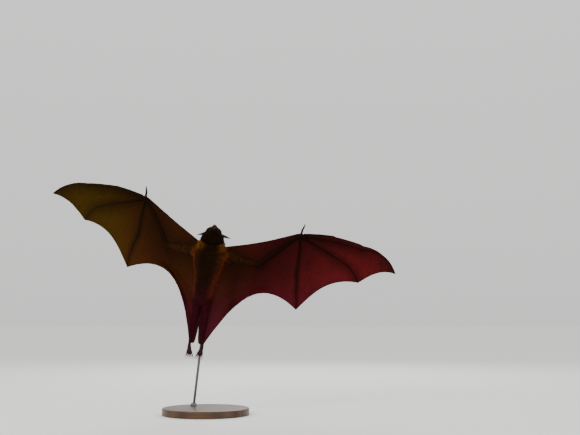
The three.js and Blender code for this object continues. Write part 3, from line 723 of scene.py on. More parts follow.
def lead_panel(side, bone):
    """The web before digit 3: out round digit 2, then a strip that narrows to the tip."""
    v = np.linspace(0, 1, ROWS)
    t = np.clip((v - LEAD) / (1 - LEAD), 0, 1)
    beyond = 0.3
    along_second = np.clip(t / beyond, 0, 1)
    radius = RADII["second"](along_second)
    outer = bone["second"].beside(along_second, radius)
    axis_end = bone["second"].beside(np.ones(1), np.array([-1.6]))[0]
    width = np.linalg.norm(axis_end - bone["third"].point(np.array(beyond)))
    narrow = RADII["third"](t) * 1.06 + 1.0
    strip = np.maximum(narrow, width) * (1 - smoothstep(t, 0.6, 0.86)) + narrow * smoothstep(t, 0.6, 0.86)
    strip = bone["third"].beside(t, strip)
    past = smoothstep(t, beyond - 0.004, beyond + 0.03)[:, None]
    edge = outer * (1 - past) + strip * past
    inner = np.clip(v / LEAD, 0, 1)[:, None]
    edge = (bone["wrist"] + heading_normal(bone) * 3.0) * (1 - inner) + edge * inner
    a, b = on_wing(side, edge), on_wing(side, digit_line(bone, "third", v))
    length = np.maximum(np.linalg.norm(a - b, axis=1), 1e-3)
    finger = np.where(t < beyond, radius, 0.5)
    around = np.array([0, 0.03, 0.12, 0.3, 0.55, 0.8, 1.0, 1.2, 1.45, 1.7, 1.88, 1.97, 2.1, 2.4, 3.0])
    first = around * (finger / length)[:, None]
    first = first * np.minimum(1, 0.45 / first[:, -1:])
    last = NEAR * (RADII["third"](t) / length)[:, None]
    last = 1 - (last * np.minimum(1, 0.45 / last[:, -1:]))[:, ::-1]
    k = np.linspace(0, 1, 8)[1:-1]
    u = np.hstack([first, first[:, -1:] * (1 - k) + last[:, :1] * k, last])
    return between(a[:, None], b[:, None], u)


def heading_normal(bone):
    way = unit(bone["second"].joints[1] - bone["wrist"])
    return np.array([-way[1], way[0]])


def rear_panel(side, pose, bone):
    """The plagiopatagium: a Coons patch between arm, digit 5, flank with leg, and free edge.
    Its places along the arm are returned too."""
    v = np.linspace(0, 1, ROWS)
    arm_line = lambda u: on_wing(side, bone["arm"].point(u))
    ankle = leg_joint("ankle", side)
    tip = on_wing(side, bone["fifth"].point(np.array(1.0)))
    away, back = pose["from_ankle"], pose["from_tip"]
    handles = [ankle, ankle + (side * away[0], 18, away[1]), tip + (side * back[0], 0, back[1]), tip]
    leg = [arm_line(np.array(0.0)), (side * 26, 8, -100), leg_joint("hip", side),
           leg_joint("knee", side), ankle]

    def bezier(u):
        w = [(1 - u) ** 3, 3 * u * (1 - u) ** 2, 3 * u * u * (1 - u), u**3]
        return sum(w[k][..., None] * np.asarray(handles[k]) for k in range(4))

    inner = spline(leg, v * 4)
    outer = on_wing(side, digit_line(bone, "fifth", v))
    length = np.linalg.norm(inner - outer, axis=1)
    leg_radius = 9.0 - 4.5 * v
    u = crowded(length, leg_radius, RADII["fifth"](v), 112)
    vv = np.broadcast_to(v[:, None], u.shape)
    head, tail = arm_line(u), bezier(u)
    across, along = between(head, tail, vv), between(inner[:, None], outer[:, None], u)
    near = between(arm_line(np.array(0.0)), arm_line(np.array(1.0)), u)
    far = between(ankle, tip, u)
    points = across + along - near * (1 - vv[..., None]) - far * vv[..., None]
    points[..., 1] += 9 * np.sin(math.pi * u) * np.sin(math.pi * vv)
    return points, u[0]


def front_panel(side, pose, bone, u):
    """The propatagium, from the side of the neck to the wrist; u are the places along the arm."""
    corner = np.array(pose["corner"], float)
    rooted = np.array([-14.0, corner[1] - 3])
    wrist_front = bone["wrist"] + heading(pose["thumb"] + 62) * (WRIST_RADIUS + 1.2)
    free = np.clip((u * 8 - 1) / 7, 0, 1)
    edge = corner + (wrist_front - corner) * free[:, None]
    edge[:, 1] -= pose["sag"] * np.sin(math.pi * free)
    inward = np.clip(1 - u * 8, 0, 1)[:, None]
    edge = edge * (1 - inward) + rooted * inward
    front = on_wing(side, edge, -5 * np.sin(math.pi * free))
    back = on_wing(side, bone["arm"].point(u))
    length = np.maximum(np.linalg.norm(front - back, axis=1), 1e-3)
    v = crowded(length, arm_radius(u), np.full(len(u), 1.0), 12)
    uu = np.broadcast_to(u[:, None], v.shape)
    points = between(back[:, None], front[:, None], v)
    points[..., 1] += 4 * np.sin(math.pi * uu) * np.sin(math.pi * v)
    return points


def weld(panels):
    """One open sheet from the panels, whose shared edges have the same points."""
    points = np.vstack([panel.reshape(-1, 3) for panel in panels])
    faces, start = [], 0
    for panel in panels:
        quads = grid_faces(*panel.shape[:2])
        flat = panel.reshape(-1, 3)
        across, along = flat[quads[:, 2]] - flat[quads[:, 0]], flat[quads[:, 3]] - flat[quads[:, 1]]
        if np.cross(across, along)[:, 1].sum() < 0:  # every panel faces the bat's back
            quads = quads[:, ::-1]
        faces.append(quads + start)
        start += len(flat)
    faces = np.vstack(faces)
    keys = np.round(points / 2e-3).astype(np.int64)
    _, first, same = np.unique(keys, axis=0, return_index=True, return_inverse=True)
    faces = same.ravel()[faces]
    distinct = np.array([len(set(f)) for f in faces])
    quads = faces[distinct == 4]
    tris = []
    for f in faces[distinct == 3]:
        tris.append([f[k] for k in range(4) if f[k] != f[k - 1]])
    return points[first], quads, np.array(tris, np.int64).reshape(-1, 3)


def closest(points, line):
    """Distance to a line through samples, and where along it, counted in samples."""
    points, line = points.astype(np.float32), np.asarray(line, np.float32)
    best = np.full(len(points), 1e9, np.float32)
    where = np.zeros(len(points), np.float32)
    for k, (start, way) in enumerate(zip(line, np.diff(line, axis=0))):
        near = points - start
        share = np.clip(near @ way / max(way @ way, 1e-9), 0, 1)
        near -= share[:, None] * way
        d = np.einsum("ij,ij->i", near, near)
        nearer = d < best
        best[nearer], where[nearer] = d[nearer], k + share[nearer]
    return np.sqrt(best).astype(float), where


def ridge(points, line, radii):
    """How far a bone swells the sheet, and how near each point is to it: from 0 to 1, in mm,
    and where along the bone the nearest place is."""
    distance, where = closest(points, line)
    radius = np.interp(where, np.arange(len(radii)), radii)
    q = distance / radius
    swell = np.where(q < 0.92, np.sqrt(np.maximum(0, 1 - q * q)), 0.392 * np.exp(-(q - 0.92) * 6))
    return radius * swell, np.exp(-((distance / (radius * 2.2)) ** 2)), distance, where / len(radii)


SHADE_WIDTH = {"second": 22.0, "third": 52.0, "fourth": 38.0, "fifth": 22.0}  # width in mm of the painted shade along a digit


def wing_parts(name):
    """The wing's closed sheet with its bones, and the values that its material and coat need."""
    pose = POSES[name]
    side, bone = pose["side"], skeleton(pose)
    rear, along_arm = rear_panel(side, pose, bone)
    panels = [
        lead_panel(side, bone),
        web_panel(side, bone, "third", "fourth", billow=5, inset=pose["scallop"][0], middle=22),
        web_panel(side, bone, "fourth", "fifth", billow=11, inset=pose["scallop"][1], middle=40),
        rear,
        front_panel(side, pose, bone, along_arm),
    ]
    points, quads, tris = weld(panels)
    v = np.linspace(0, 1, 170)
    arm_line = on_wing(side, bone["arm"].point(v))
    swell, closeness, distance, _ = ridge(points, arm_line, arm_radius(v))
    total = swell**4
    # Painted shade: broad dark bands along the arm and, below, along the digits, narrowing towards their
    # tips.
    soft = np.maximum(0.95 * np.exp(-((distance / 26) ** 2)),
                      0.76 * np.exp(-((distance / pose["shade"]) ** 2)))
    for digit in DIGITS:
        line = on_wing(side, digit_line(bone, digit, v))
        swell, near, distance, along = ridge(points, line, RADII[digit](v))
        total, closeness = total + swell**4, np.maximum(closeness, near)
        spread = SHADE_WIDTH[digit] * (1 - 0.6 * along)
        soft = np.maximum(soft, (0.88 - 0.42 * along) * np.exp(-((distance / spread) ** 2)))
    front_edge = panels[4][:, -1][::2]
    swell = ridge(points, front_edge, np.full(len(front_edge), 1.1))[0]
    total = total + swell**4

    # Free edges: the vertices of edges that only one face uses.
    count = len(points)
    both = [quads[:, [k, (k + 1) % 4]] for k in range(4)] + [tris[:, [k, (k + 1) % 3]] for k in range(3)]
    edges = np.sort(np.vstack(both), 1)
    keys, times = np.unique(edges[:, 0] * count + edges[:, 1], return_counts=True)
    rim = np.unique(np.concatenate([keys[times == 1] // count, keys[times == 1] % count]))
    rim_distance, _ = closest(points, points[rim][::2])

    # Slack skin: broad billows, then fine folds that run in from the free edge.
    loose = smoothstep(rim_distance, 0, 14) * (1 - closeness) ** 2
    normals = normals_of(points, triangles([quads, tris]))
    folds = 1.1 * ripple(points, 46, 3) + 0.35 * ripple(points * (2.6, 1, 0.8), 24, 4)
    points = points + normals * (folds * loose)[:, None]
    edge_pull = np.exp(-rim_distance / 9.0) * (1 - closeness)
    points = points + normals * (0.7 * ripple(points, 17, 5) * edge_pull)[:, None]
    normals = normals_of(points, triangles([quads, tris]))

    half = np.sqrt(np.sqrt(total) + WEB_HALF**2 * smoothstep(rim_distance, -1.5, 1.5))
    close_by = np.nonzero((side * points[:, 0] < 120) & (points[:, 2] > -335))[0]
    body = np.full(count, 99.0)
    body[close_by] = flesh(points[close_by])
    reach = 3 + 6 * smoothstep(points[:, 2], -230, -150)
    inward = np.clip(reach - body, 0, reach)
    half = half + (reach - np.sqrt(np.maximum(reach**2 - inward**2, 0)))
    top, bottom = points + normals * half[:, None], points - normals * half[:, None]
    solid, faces = sandwich(top, bottom, quads)
    if len(tris):
        faces += [tris, tris[:, ::-1] + count]

    upper, _ = closest(points, arm_line[:95])
    twice = lambda values: np.concatenate([values, values])
    values = {
        "bone": twice(closeness),
        "soft": twice(soft),
        # Painted shade: a dark line along the free edges.
        "rim": twice(np.exp(-rim_distance / 1.6)),
        # Painted glow, as of light through the thin skin: lighter away from the bones, towards the free
        # edges.
        "pale": twice(smoothstep(rim_distance, 60, 0) * (1 - closeness)),
        "body": twice(np.clip(body, -5, 200)),
        "arm": twice(upper),
    }
    return solid, faces, values, bone


def hand_parts(name, bone):
    """Wrist, thumb and the roots of the digits, blended into one and sunk into the sheet."""
    pose = POSES[name]
    side, wrist = pose["side"], on_wing(pose["side"], bone["wrist"])
    thumb_start = bone["wrist"] + heading(pose["thumb"]) * (WRIST_RADIUS + 0.35)
    thumb = Chain(thumb_start, [BONES["thumb"] - WRIST_RADIUS], [pose["thumb"]], [1.5])
    share = np.linspace(0, 1, 7)
    thumb_line = on_wing(side, thumb.point(share))
    thumb_radii = 3.1 - 0.75 * share + 0.55 * np.exp(-((share - 0.42) / 0.1) ** 2)

    def field(p):
        p = p.astype(np.float32)
        hand = ellipsoid(p, wrist, (7.4, 5.6, 7.4))
        hand = smin(hand, cone(p, on_wing(side, bone["arm"].point(np.array(0.9))), wrist, 3.7, 5.0), 3)
        for digit in DIGITS:
            knuckle = on_wing(side, digit_line(bone, digit, np.array(0.13)))
            root = 3.4 if digit != "second" else 2.6
            hand = smin(hand, cone(p, wrist, knuckle, root, float(RADII[digit](0.05)) - 0.75), 1.6)
        base = on_wing(side, bone["wrist"] + heading(pose["thumb"]) * 4)
        hand = smin(hand, cone(p, base, thumb_line[1], 4.2, 2.9), 2.4)
        for k in range(6):
            joint = cone(p, thumb_line[k], thumb_line[k + 1], thumb_radii[k], thumb_radii[k + 1])
            hand = smin(hand, joint, 0.8)
        return hand + 0.12 * np.sin(p[:, 2] * 2.1 + p[:, 0] * 1.3)

    points, faces = shell(field, wrist - (46, 22, 46), wrist + (46, 22, 46), VOXELS["hand"])
    full, far = np.ones(len(points)), np.full(len(points), 99.0)
    # The hand takes the full painted shade.
    return points, faces, {"bone": full, "soft": full, "body": far}, thumb_line


# ------------------------------------------------------------------ claws and eyes


def claw_parts(base, forward, down, kind):
    """A claw that starts along `forward` and hooks towards `down`."""
    length, radius, hook = CLAWS[kind]
    sides, slim = 14, 0.62
    bend = length / math.radians(hook)
    t = np.linspace(-0.1, 1, 20)
    angle = math.radians(hook) * np.clip(t, 0, 1)
    line = base + forward * (bend * np.sin(angle) + np.minimum(t, 0) * length)[:, None] \
        + down * (bend * (1 - np.cos(angle)))[:, None]
    radii = radius * np.clip(1 - np.clip(t, 0, 1) ** 1.45, 0.02, 1)
    points, faces = tube(line, radii, sides, slim, up=np.cross(forward, down))
    along = np.concatenate([np.repeat(np.clip(t, 0, 1), sides), [0, 1]])
    return points, faces, {"tip": along}


def foot_claws(side):
    _, _, toes = foot_joints(side)
    down = np.array([0, -1.0, 0])
    return gather([claw_parts(end + out * 0.2, out, down, "foot") for _, end, out in toes])


def eye_parts(side):
    """A ball with a slight corneal bulge; gaze is the angle from its axis."""
    axis = EYE_AXIS[side]
    rings, sides = 48, 56
    angle = np.linspace(0, math.pi, rings)
    bulge = 0.35 * np.exp(-((angle / 0.55) ** 2))
    line = EYE_CENTRE[side] + axis * ((EYE["radius"] + bulge) * np.cos(angle) - 0.15)[:, None]
    radii = np.maximum((EYE["radius"] + bulge) * np.sin(angle), 1e-4)
    across = unit(np.cross(axis, (0, 0, 1.0)))
    over = np.cross(axis, across)
    spin = np.linspace(0, 2 * math.pi, sides, endpoint=False)
    ring = np.cos(spin)[:, None] * across + np.sin(spin)[:, None] * over
    points = (line[1:-1, None] + ring[None] * radii[1:-1, None, None]).reshape(-1, 3)
    index = np.arange(len(points)).reshape(rings - 2, sides)
    nxt = np.roll(index, -1, axis=1)
    quads = np.stack([index[:-1], index[1:], nxt[1:], nxt[:-1]], -1).reshape(-1, 4)
    points = np.vstack([points, line[:1], line[-1:]])
    ends = np.vstack([
        np.stack([index[0], nxt[0], np.full(sides, len(points) - 2)], -1),
        np.stack([nxt[-1], index[-1], np.full(sides, len(points) - 1)], -1),
    ])
    if np.einsum("ij,ij->", normals_of(points, triangles([quads, ends])), points - EYE_CENTRE[side]) < 0:
        quads, ends = quads[:, ::-1], ends[:, ::-1]
    gaze = np.concatenate([np.repeat(angle[1:-1], sides), [0, math.pi]])
    spoke = np.concatenate([np.tile(spin, rings - 2), [0, 0]])
    spoke = np.sin(spoke * 9) * 0.5 + np.sin(spoke * 23 + 1) * 0.5
    return points, [quads, ends], {"gaze": gaze, "spoke": spoke}


# ------------------------------------------------------------------ coat


def rufous(p):
    """Where the coat is red-brown: a mantle round the neck, open at the throat, the flanks
    and, faintly, the arms."""
    number, angle = round_body(p)
    around = np.abs(angle)  # pi at the back
    patchy = 0.16 * ripple(p, 26, 11) + 0.08 * ripple(p, 9, 12)
    collar = smoothstep(number, 6.3, 7.1) * smoothstep(number, 8.75, 8.1) * smoothstep(around, 0.45, 0.95)
    flank = smoothstep(number, 1.5, 2.6) * smoothstep(number, 6.9, 6.0)
    flank = flank * smoothstep(around, 0.45, 1.45) * smoothstep(around, 2.2, 1.6)
    near_body = smoothstep(np.abs(p[:, 0]), 62, 50) * smoothstep(p[:, 2], -196, -176)
    arms = 0.20 * smoothstep(np.abs(p[:, 0] - CHEST_MIDDLE), 34, 56) * smoothstep(p[:, 2], -150, -100)
    return np.clip(np.maximum(np.maximum(collar, flank) * near_body, arms) * (1 + patchy * 1.5), 0, 1)


def scatter(points, tris, normals, density, dice):
    """Roots on a surface, `density` of them for each square millimetre at each vertex."""
    a, b, c = (points[tris[:, k]] for k in range(3))
    area = np.linalg.norm(np.cross(b - a, c - a), axis=1) / 2
    weight = area * density[tris].mean(1)
    count = int(weight.sum())
    pick = dice.choice(len(tris), count, p=weight / weight.sum())
    r, q = np.sqrt(dice.random(count)), dice.random(count)
    share = np.stack([1 - r, r * (1 - q), r * q], 1)
    mix = lambda values: np.einsum("ij,ijk->ik", share, values[tris[pick]])
    return mix(points), unit(mix(normals))


WILD = 0.2  # how far a tuft strays sideways from the flow
BAKE_PATCH = 0.003  # the size of each tuft on the unwrap


def coat(name, roots, normals, flow, length, width, rise, uv, dice, slot):
    """Tufts: thin closed spikes of three sides, bent over to lie along the flow."""
    count = len(roots)
    flow = unit(flow - normals * np.einsum("ij,ij->i", flow, normals)[:, None])
    aside = np.cross(normals, flow)
    sway = dice.normal(0, WILD, count) + 0.35 * ripple(roots, 14, 21)
    flow = unit(flow + aside * sway[:, None])
    aside = np.cross(normals, flow)
    length = (length * dice.uniform(0.7, 1.15, count))[:, None]
    width = (width * dice.uniform(0.75, 1.25, count))[:, None]
    rise = (rise * np.clip(dice.normal(1, 0.22, count), 0.4, 1.6))[:, None]
    bend = dice.normal(0, 0.1, count)[:, None] * length
    rings = []
    for along, up, wide in ((0.0, -0.35, 0.75), (0.5, 0.78, 1.0)):
        middle = roots + flow * length * along + normals * (rise * up if up > 0 else up)
        half = aside * width * wide / 2
        rings += [middle + half, middle - half, middle + normals * width * wide * 0.3]
    tip = roots + flow * length + normals * rise * 0.95 + aside * bend
    points = np.stack([*rings, tip], 1).reshape(-1, 3)
    template = [(0, 1, 2)]
    for i, j in ((0, 2), (2, 1), (1, 0)):
        template += [(i, j, j + 3), (i, j + 3, i + 3), (i + 3, j + 3, 6)]
    faces = (np.array(template)[None] + 7 * np.arange(count)[:, None, None]).reshape(-1, 3)
    patch = np.array([(1, 0), (0, 0), (0.5, 0), (1, 0.5), (0, 0.5), (0.5, 0.5), (0.5, 1)]) * BAKE_PATCH
    uv = (uv[:, None] + patch[None]).reshape(-1, 2)
    values = {
        "tip": np.tile([0, 0, 0, 0.5, 0.5, 0.5, 1.0], count),
        "shade": np.repeat(dice.random(count), 7),
        "rufous": np.repeat(rufous(roots), 7),
    }
    made = make(name, points, [faces], FUR, values, uv=uv)


# ------------------------------------------------------------------ materials


class Paint:
    """A node material, with short calls for the nodes that every material here uses."""

    def __init__(self, name, **fixed):
        self.material = bpy.data.materials.new(name)
        self.material.use_nodes = True
        self.tree = self.material.node_tree
        self.shader = self.tree.nodes["Principled BSDF"]
        for key, value in fixed.items():
            self.shader.inputs[key.replace("_", " ").title().replace("Ior", "IOR")].default_value = value
        self.place = self.add("TexCoord").outputs["Object"]

    def add(self, kind, inputs=None, **settings):
        node = self.tree.nodes.new("ShaderNode" + kind)
        for key, value in settings.items():
            setattr(node, key, value)
        for key, value in (inputs or {}).items():
            if isinstance(value, bpy.types.NodeSocket):
                self.tree.links.new(value, node.inputs[key])
            else:
                node.inputs[key].default_value = value
        return node

    def value(self, name):
        return self.add("Attribute", attribute_name=name).outputs["Fac"]

    def stretched(self, x, y, z):
        return self.add("Mapping", {"Vector": self.place, "Scale": (x, y, z)}).outputs[0]

    def axis(self, name):
        return self.add("SeparateXYZ", {0: self.place}).outputs[name]

    def noise(self, scale, detail=3.0, rough=0.55, vector=None):
        return self.add("TexNoise", {"Vector": vector or self.place, "Scale": scale, "Detail": detail,
                                     "Roughness": rough}).outputs["Fac"]

    def cells(self, scale, vector):
        return self.add("TexVoronoi", {"Vector": vector, "Scale": scale},
                        feature="DISTANCE_TO_EDGE").outputs["Distance"]

    def math(self, operation, a, b=0.0, clamp=False):
        return self.add("Math", {0: a, 1: b}, operation=operation, use_clamp=clamp).outputs[0]

    def span(self, value, low, high, to_low=0.0, to_high=1.0):
        return self.add("MapRange", {"Value": value, "From Min": low, "From Max": high,
                                     "To Min": to_low, "To Max": to_high}).outputs[0]

    def mix(self, share, a, b, blend="MIX"):
        node = self.add("Mix", {0: share}, data_type="RGBA", blend_type=blend)
        for k, value in ((6, a), (7, b)):
            if isinstance(value, bpy.types.NodeSocket):
                self.tree.links.new(value, node.inputs[k])
            else:
                node.inputs[k].default_value = (*value, 1)
        return node.outputs[2]

    def finish(self, colour, roughness=None, *bumps):
        """Colour, roughness, and bumps as (height, distance in metres), the coarsest first."""
        self.tree.links.new(colour, self.shader.inputs["Base Color"])
        if roughness is not None:
            self.tree.links.new(roughness, self.shader.inputs["Roughness"])
        normal = None
        for height, distance in bumps:
            inputs = {"Height": height, "Distance": distance, "Strength": 1.0}
            if normal is not None:
                inputs["Normal"] = normal
            normal = self.add("Bump", inputs).outputs["Normal"]
        if normal is not None:
            self.tree.links.new(normal, self.shader.inputs["Normal"])
        return self.material


BLACK_FUR, BROWN_TIP = (0.0048, 0.0022, 0.0008), (0.0240, 0.0110, 0.0030)
MAROON_FUR, MAROON_TIP = (0.0240, 0.0010, 0.0046), (0.0880, 0.0040, 0.0220)  # loins and legs
RUFOUS_DEEP, RUFOUS_LIGHT = (0.046, 0.0138, 0.0021), (0.185, 0.0620, 0.0090)  # mantle
RUSTY_DEEP, RUSTY_LIGHT = (0.034, 0.0050, 0.0019), (0.150, 0.0220, 0.0085)  # flanks
CRIMSON_DEEP, CRIMSON_LIGHT = (0.044, 0.0040, 0.0040), (0.180, 0.0160, 0.0190)  # flanks by the loins


def pelt(paint, shade, tip):
    """The coat's colours, on the tufts and, where they part, on the skin."""
    patches = paint.span(paint.noise(34, 4), 0.35, 0.65)
    height = paint.axis("Z")
    dark = paint.mix(tip, BLACK_FUR, BROWN_TIP)
    dark = paint.mix(paint.span(height, 0.42, 0.32, 0.0, 0.9), dark, paint.mix(tip, MAROON_FUR, MAROON_TIP))
    dark = paint.mix(paint.math("MULTIPLY", patches, 0.4), dark, (0.0125, 0.0058, 0.0026))
    red = paint.mix(tip, RUFOUS_DEEP, RUFOUS_LIGHT)
    flank = paint.mix(tip, RUSTY_DEEP, RUSTY_LIGHT)
    flank = paint.mix(paint.span(height, 0.43, 0.37), flank, paint.mix(tip, CRIMSON_DEEP, CRIMSON_LIGHT))
    red = paint.mix(paint.span(height, 0.53, 0.46, 0.0, 0.8), red, flank)
    colour = paint.mix(paint.value("rufous"), dark, red)
    grey = paint.add("CombineColor", {k: shade for k in range(3)}).outputs[0]
    return paint.mix(1.0, colour, grey, "MULTIPLY")


def fur_material():
    paint = Paint("fur", roughness=0.6, specular_ior_level=0.035)
    shade = paint.span(paint.value("shade"), 0, 1, 0.5, 1.6)
    tip = paint.math("POWER", paint.value("tip"), 1.3)
    streak = paint.noise(900, 2, 0.6, paint.stretched(1, 1, 0.12))
    rough = paint.span(streak, 0.3, 0.7, 0.5, 0.74)
    return paint.finish(pelt(paint, shade, tip), rough, (streak, 0.0003))


def skin_material():
    """Under the coat it has the coat's markings; bare, it is dark, finely creased skin."""
    paint = Paint("skin", roughness=0.5, specular_ior_level=0.06)
    shade = paint.span(paint.noise(500, 3), 0.2, 0.8, 0.3, 0.75)
    under = pelt(paint, shade, paint.noise(700, 2))
    mottled = paint.noise(120, 4)
    bare = paint.mix(mottled, (0.0075, 0.0042, 0.0026), (0.0220, 0.0125, 0.0080))
    height = paint.axis("Z")
    bare = paint.mix(paint.span(height, 0.26, 0.21, 0.0, 0.7), bare, (0.0230, 0.0050, 0.0085))
    bare = paint.mix(paint.value("warm"), bare, (0.034, 0.0150, 0.0115))
    colour = paint.mix(paint.value("bare"), under, bare)
    creases = paint.cells(620, paint.stretched(1, 1, 1.8))
    pores = paint.noise(1500, 2)
    rough = paint.span(mottled, 0.3, 0.7, 0.38, 0.56)
    return paint.finish(colour, rough, (paint.noise(160, 4), 0.0006), (creases, 0.0005), (pores, 0.0002))


def membrane_material():
    """Olive brown on the right wing to maroon on the left and towards the legs, a little darker over the
    bones, with broad painted shade along the arm and digits, lighter between the bones towards the free edges
    by a painted glow of light through the thin skin, and a painted dark line along those edges."""
    paint = Paint("membrane", roughness=0.5, specular_ior_level=0.022)
    drift = paint.math("MULTIPLY", paint.noise(6, 2), 0.12)
    eased = lambda value, low, high: paint.add(
        "MapRange", {"Value": value, "From Min": low, "From Max": high},
        interpolation_type="SMOOTHSTEP").outputs[0]
    inner = eased(paint.math("ADD", paint.axis("X"), drift), -0.32, -0.12)
    leftward = eased(paint.math("ADD", paint.axis("X"), drift), 0.05, 0.30)
    drift = paint.math("MULTIPLY", paint.noise(9, 2), 0.07)
    tailward = eased(paint.math("ADD", paint.axis("Z"), drift), 0.49, 0.30)
    blend = lambda olive, russet, maroon: paint.mix(leftward, paint.mix(inner, olive, russet), maroon)
    # The darkest colours are those of the painted shade and of the veins.
    shade_and_vein_colour = blend((0.0080, 0.0044, 0.0004), (0.0078, 0.0028, 0.0006), (0.0072, 0.0013, 0.0008))
    base = blend((0.0225, 0.0114, 0.0008), (0.0215, 0.0053, 0.0008), (0.0195, 0.0017, 0.0012))
    light = blend((0.0400, 0.0200, 0.0013), (0.0450, 0.0115, 0.0018), (0.0860, 0.0062, 0.0078))
    blotch = paint.span(paint.noise(22, 5), 0.32, 0.68)
    # The painted glow of light through the thin skin, with random mottling, shifts the colour towards the
    # light colours.
    pale = paint.math("ADD", paint.math("MULTIPLY", paint.value("pale"), 0.6),
                      paint.math("MULTIPLY", blotch, 0.3), True)
    colour = paint.mix(pale, base, light)
    colour = paint.mix(paint.math("MULTIPLY", tailward, 0.75), colour,
                       paint.mix(pale, (0.0260, 0.0012, 0.0048), (0.0620, 0.0036, 0.0165)))
    # Painted shade along the arm and digits, over the hand and beside the legs.
    colour = paint.mix(paint.value("soft"), colour, shade_and_vein_colour)
    wander = paint.add("VectorMath", {0: paint.add("TexNoise", {"Vector": paint.place, "Scale": 24.0,
                                                               "Detail": 4.0}).outputs["Color"],
                                      3: 0.030}, operation="SCALE").outputs[0]
    wander = paint.add("VectorMath", {0: paint.stretched(1, 0.2, 0.6), 1: wander}).outputs[0]
    veins = paint.span(paint.cells(38, wander), 0.0, 0.035, 0.4, 0.0)
    veins = paint.math("MULTIPLY", veins, paint.span(paint.noise(13, 2), 0.42, 0.62))
    colour = paint.mix(veins, colour, shade_and_vein_colour)
    colour = paint.mix(paint.math("MULTIPLY", paint.value("bone"), 0.2), colour, (0.0070, 0.0032, 0.0018))
    # Painted shade: a dark line along the free edges.
    colour = paint.mix(paint.math("MULTIPLY", paint.value("rim"), 0.8), colour, (0.0070, 0.0032, 0.0022))
    near_body = paint.span(paint.value("body"), 0.0, 22.0, 0.5, 0.0)
    colour = paint.mix(near_body, colour, (0.0160, 0.0052, 0.0016))
    fine = paint.noise(260, 3, 0.6, paint.stretched(2.4, 1, 0.5))
    weave = paint.cells(330, paint.stretched(1, 1, 2.2))
    rough = paint.span(blotch, 0.0, 1.0, 0.44, 0.62)
    return paint.finish(colour, rough, (paint.noise(55, 4, 0.55, paint.stretched(1, 1, 3)), 0.0016),
                        (fine, 0.0006), (weave, 0.00025))


def horn_material():
    paint = Paint("horn", roughness=0.36, specular_ior_level=0.25, coat_weight=0.08, coat_roughness=0.2)
    along = paint.noise(420, 3, 0.5, paint.stretched(1, 1, 0.3))
    colour = paint.mix(paint.value("tip"), (0.022, 0.016, 0.013), (0.0065, 0.0052, 0.0048))
    colour = paint.mix(paint.math("MULTIPLY", along, 0.4), colour, (0.035, 0.026, 0.02))
    return paint.finish(colour, paint.span(along, 0.3, 0.7, 0.3, 0.45), (along, 0.00015))


def eye_material():
    """Dark pupil, chestnut iris with spokes, and a near-black rim, under a wet surface."""
    paint = Paint("eye", roughness=0.1, specular_ior_level=0.1, coat_weight=0.07, coat_roughness=0.02)
    gaze, spoke = paint.value("gaze"), paint.value("spoke")
    flecks = paint.math("MULTIPLY_ADD", spoke, 0.14)
    paint.tree.links.new(paint.noise(900, 3), flecks.node.inputs[2])
    iris = paint.mix(flecks, (0.020, 0.0064, 0.0022), (0.055, 0.0195, 0.0065))
    ringed = paint.mix(paint.span(gaze, 0.66, 0.92), iris, (0.008, 0.0045, 0.0035))
    colour = paint.mix(paint.span(gaze, 0.33, 0.29), ringed, (0.0015, 0.0012, 0.0012))
    return paint.finish(colour)


def walnut_material():
    paint = Paint("walnut", roughness=0.45, specular_ior_level=0.25, coat_weight=0.06, coat_roughness=0.3)
    warped = paint.stretched(0.9, 7, 7)
    rings = paint.add("TexWave", {"Vector": warped, "Scale": 1.5, "Distortion": 5.5, "Detail": 4.0,
                                  "Detail Scale": 1.4}, wave_type="BANDS", bands_direction="Y").outputs["Fac"]
    pores = paint.noise(260, 3, 0.7, paint.stretched(0.06, 1, 1))
    colour = paint.mix(rings, (0.046, 0.0215, 0.0100), (0.080, 0.0385, 0.0180))
    colour = paint.mix(paint.span(pores, 0.5, 0.72, 0.0, 0.6), colour, (0.035, 0.017, 0.009))
    return paint.finish(colour, paint.span(rings, 0, 1, 0.33, 0.46), (pores, 0.0002))


def steel_material():
    paint = Paint("steel", metallic=1.0, roughness=0.3, anisotropic=0.4)
    brushed = paint.noise(2400, 2, 0.6, paint.stretched(1, 1, 0.01))
    colour = paint.mix(brushed, (0.085, 0.085, 0.088), (0.14, 0.14, 0.143))
    return paint.finish(colour, paint.span(brushed, 0.3, 0.7, 0.30, 0.46), (brushed, 0.00003))


def floor_material():
    paint = Paint("floor", roughness=0.85, specular_ior_level=0.2)
    return paint.finish(paint.mix(paint.noise(3, 2), (0.775, 0.770, 0.760), (0.795, 0.790, 0.780)))


FUR, SKIN, MEMBRANE, HORN = fur_material(), skin_material(), membrane_material(), horn_material()
EYEBALL, WALNUT, STEEL = eye_material(), walnut_material(), steel_material()

# ------------------------------------------------------------------ floor and studio

floor_mesh = bpy.data.meshes.new("floor")
floor_mesh.from_pydata([(-30, -30, 0), (30, -30, 0), (30, 30, 0), (-30, 30, 0)], [], [(0, 1, 2, 3)])
floor_mesh.materials.append(floor_material())
floor = bpy.data.objects.new("floor", floor_mesh)
scene.collection.objects.link(floor)

world = bpy.data.worlds.new("studio")
world.use_nodes = True
sky, link = world.node_tree.nodes, world.node_tree.links
height = sky.new("ShaderNodeSeparateXYZ")
link.new(sky.new("ShaderNodeTexCoord").outputs["Generated"], height.inputs[0])
lighter = sky.new("ShaderNodeMapRange")  # a little brighter overhead than at the horizon
for key, value in (("From Min", 0.0), ("From Max", 0.8), ("To Min", 0.92), ("To Max", 1.30)):
    lighter.inputs[key].default_value = value
link.new(height.outputs["Z"], lighter.inputs["Value"])
link.new(lighter.outputs[0], sky["Background"].inputs["Strength"])
sky["Background"].inputs["Color"].default_value = (0.96, 0.955, 0.945, 1)
scene.world = world

# ------------------------------------------------------------------ the skin


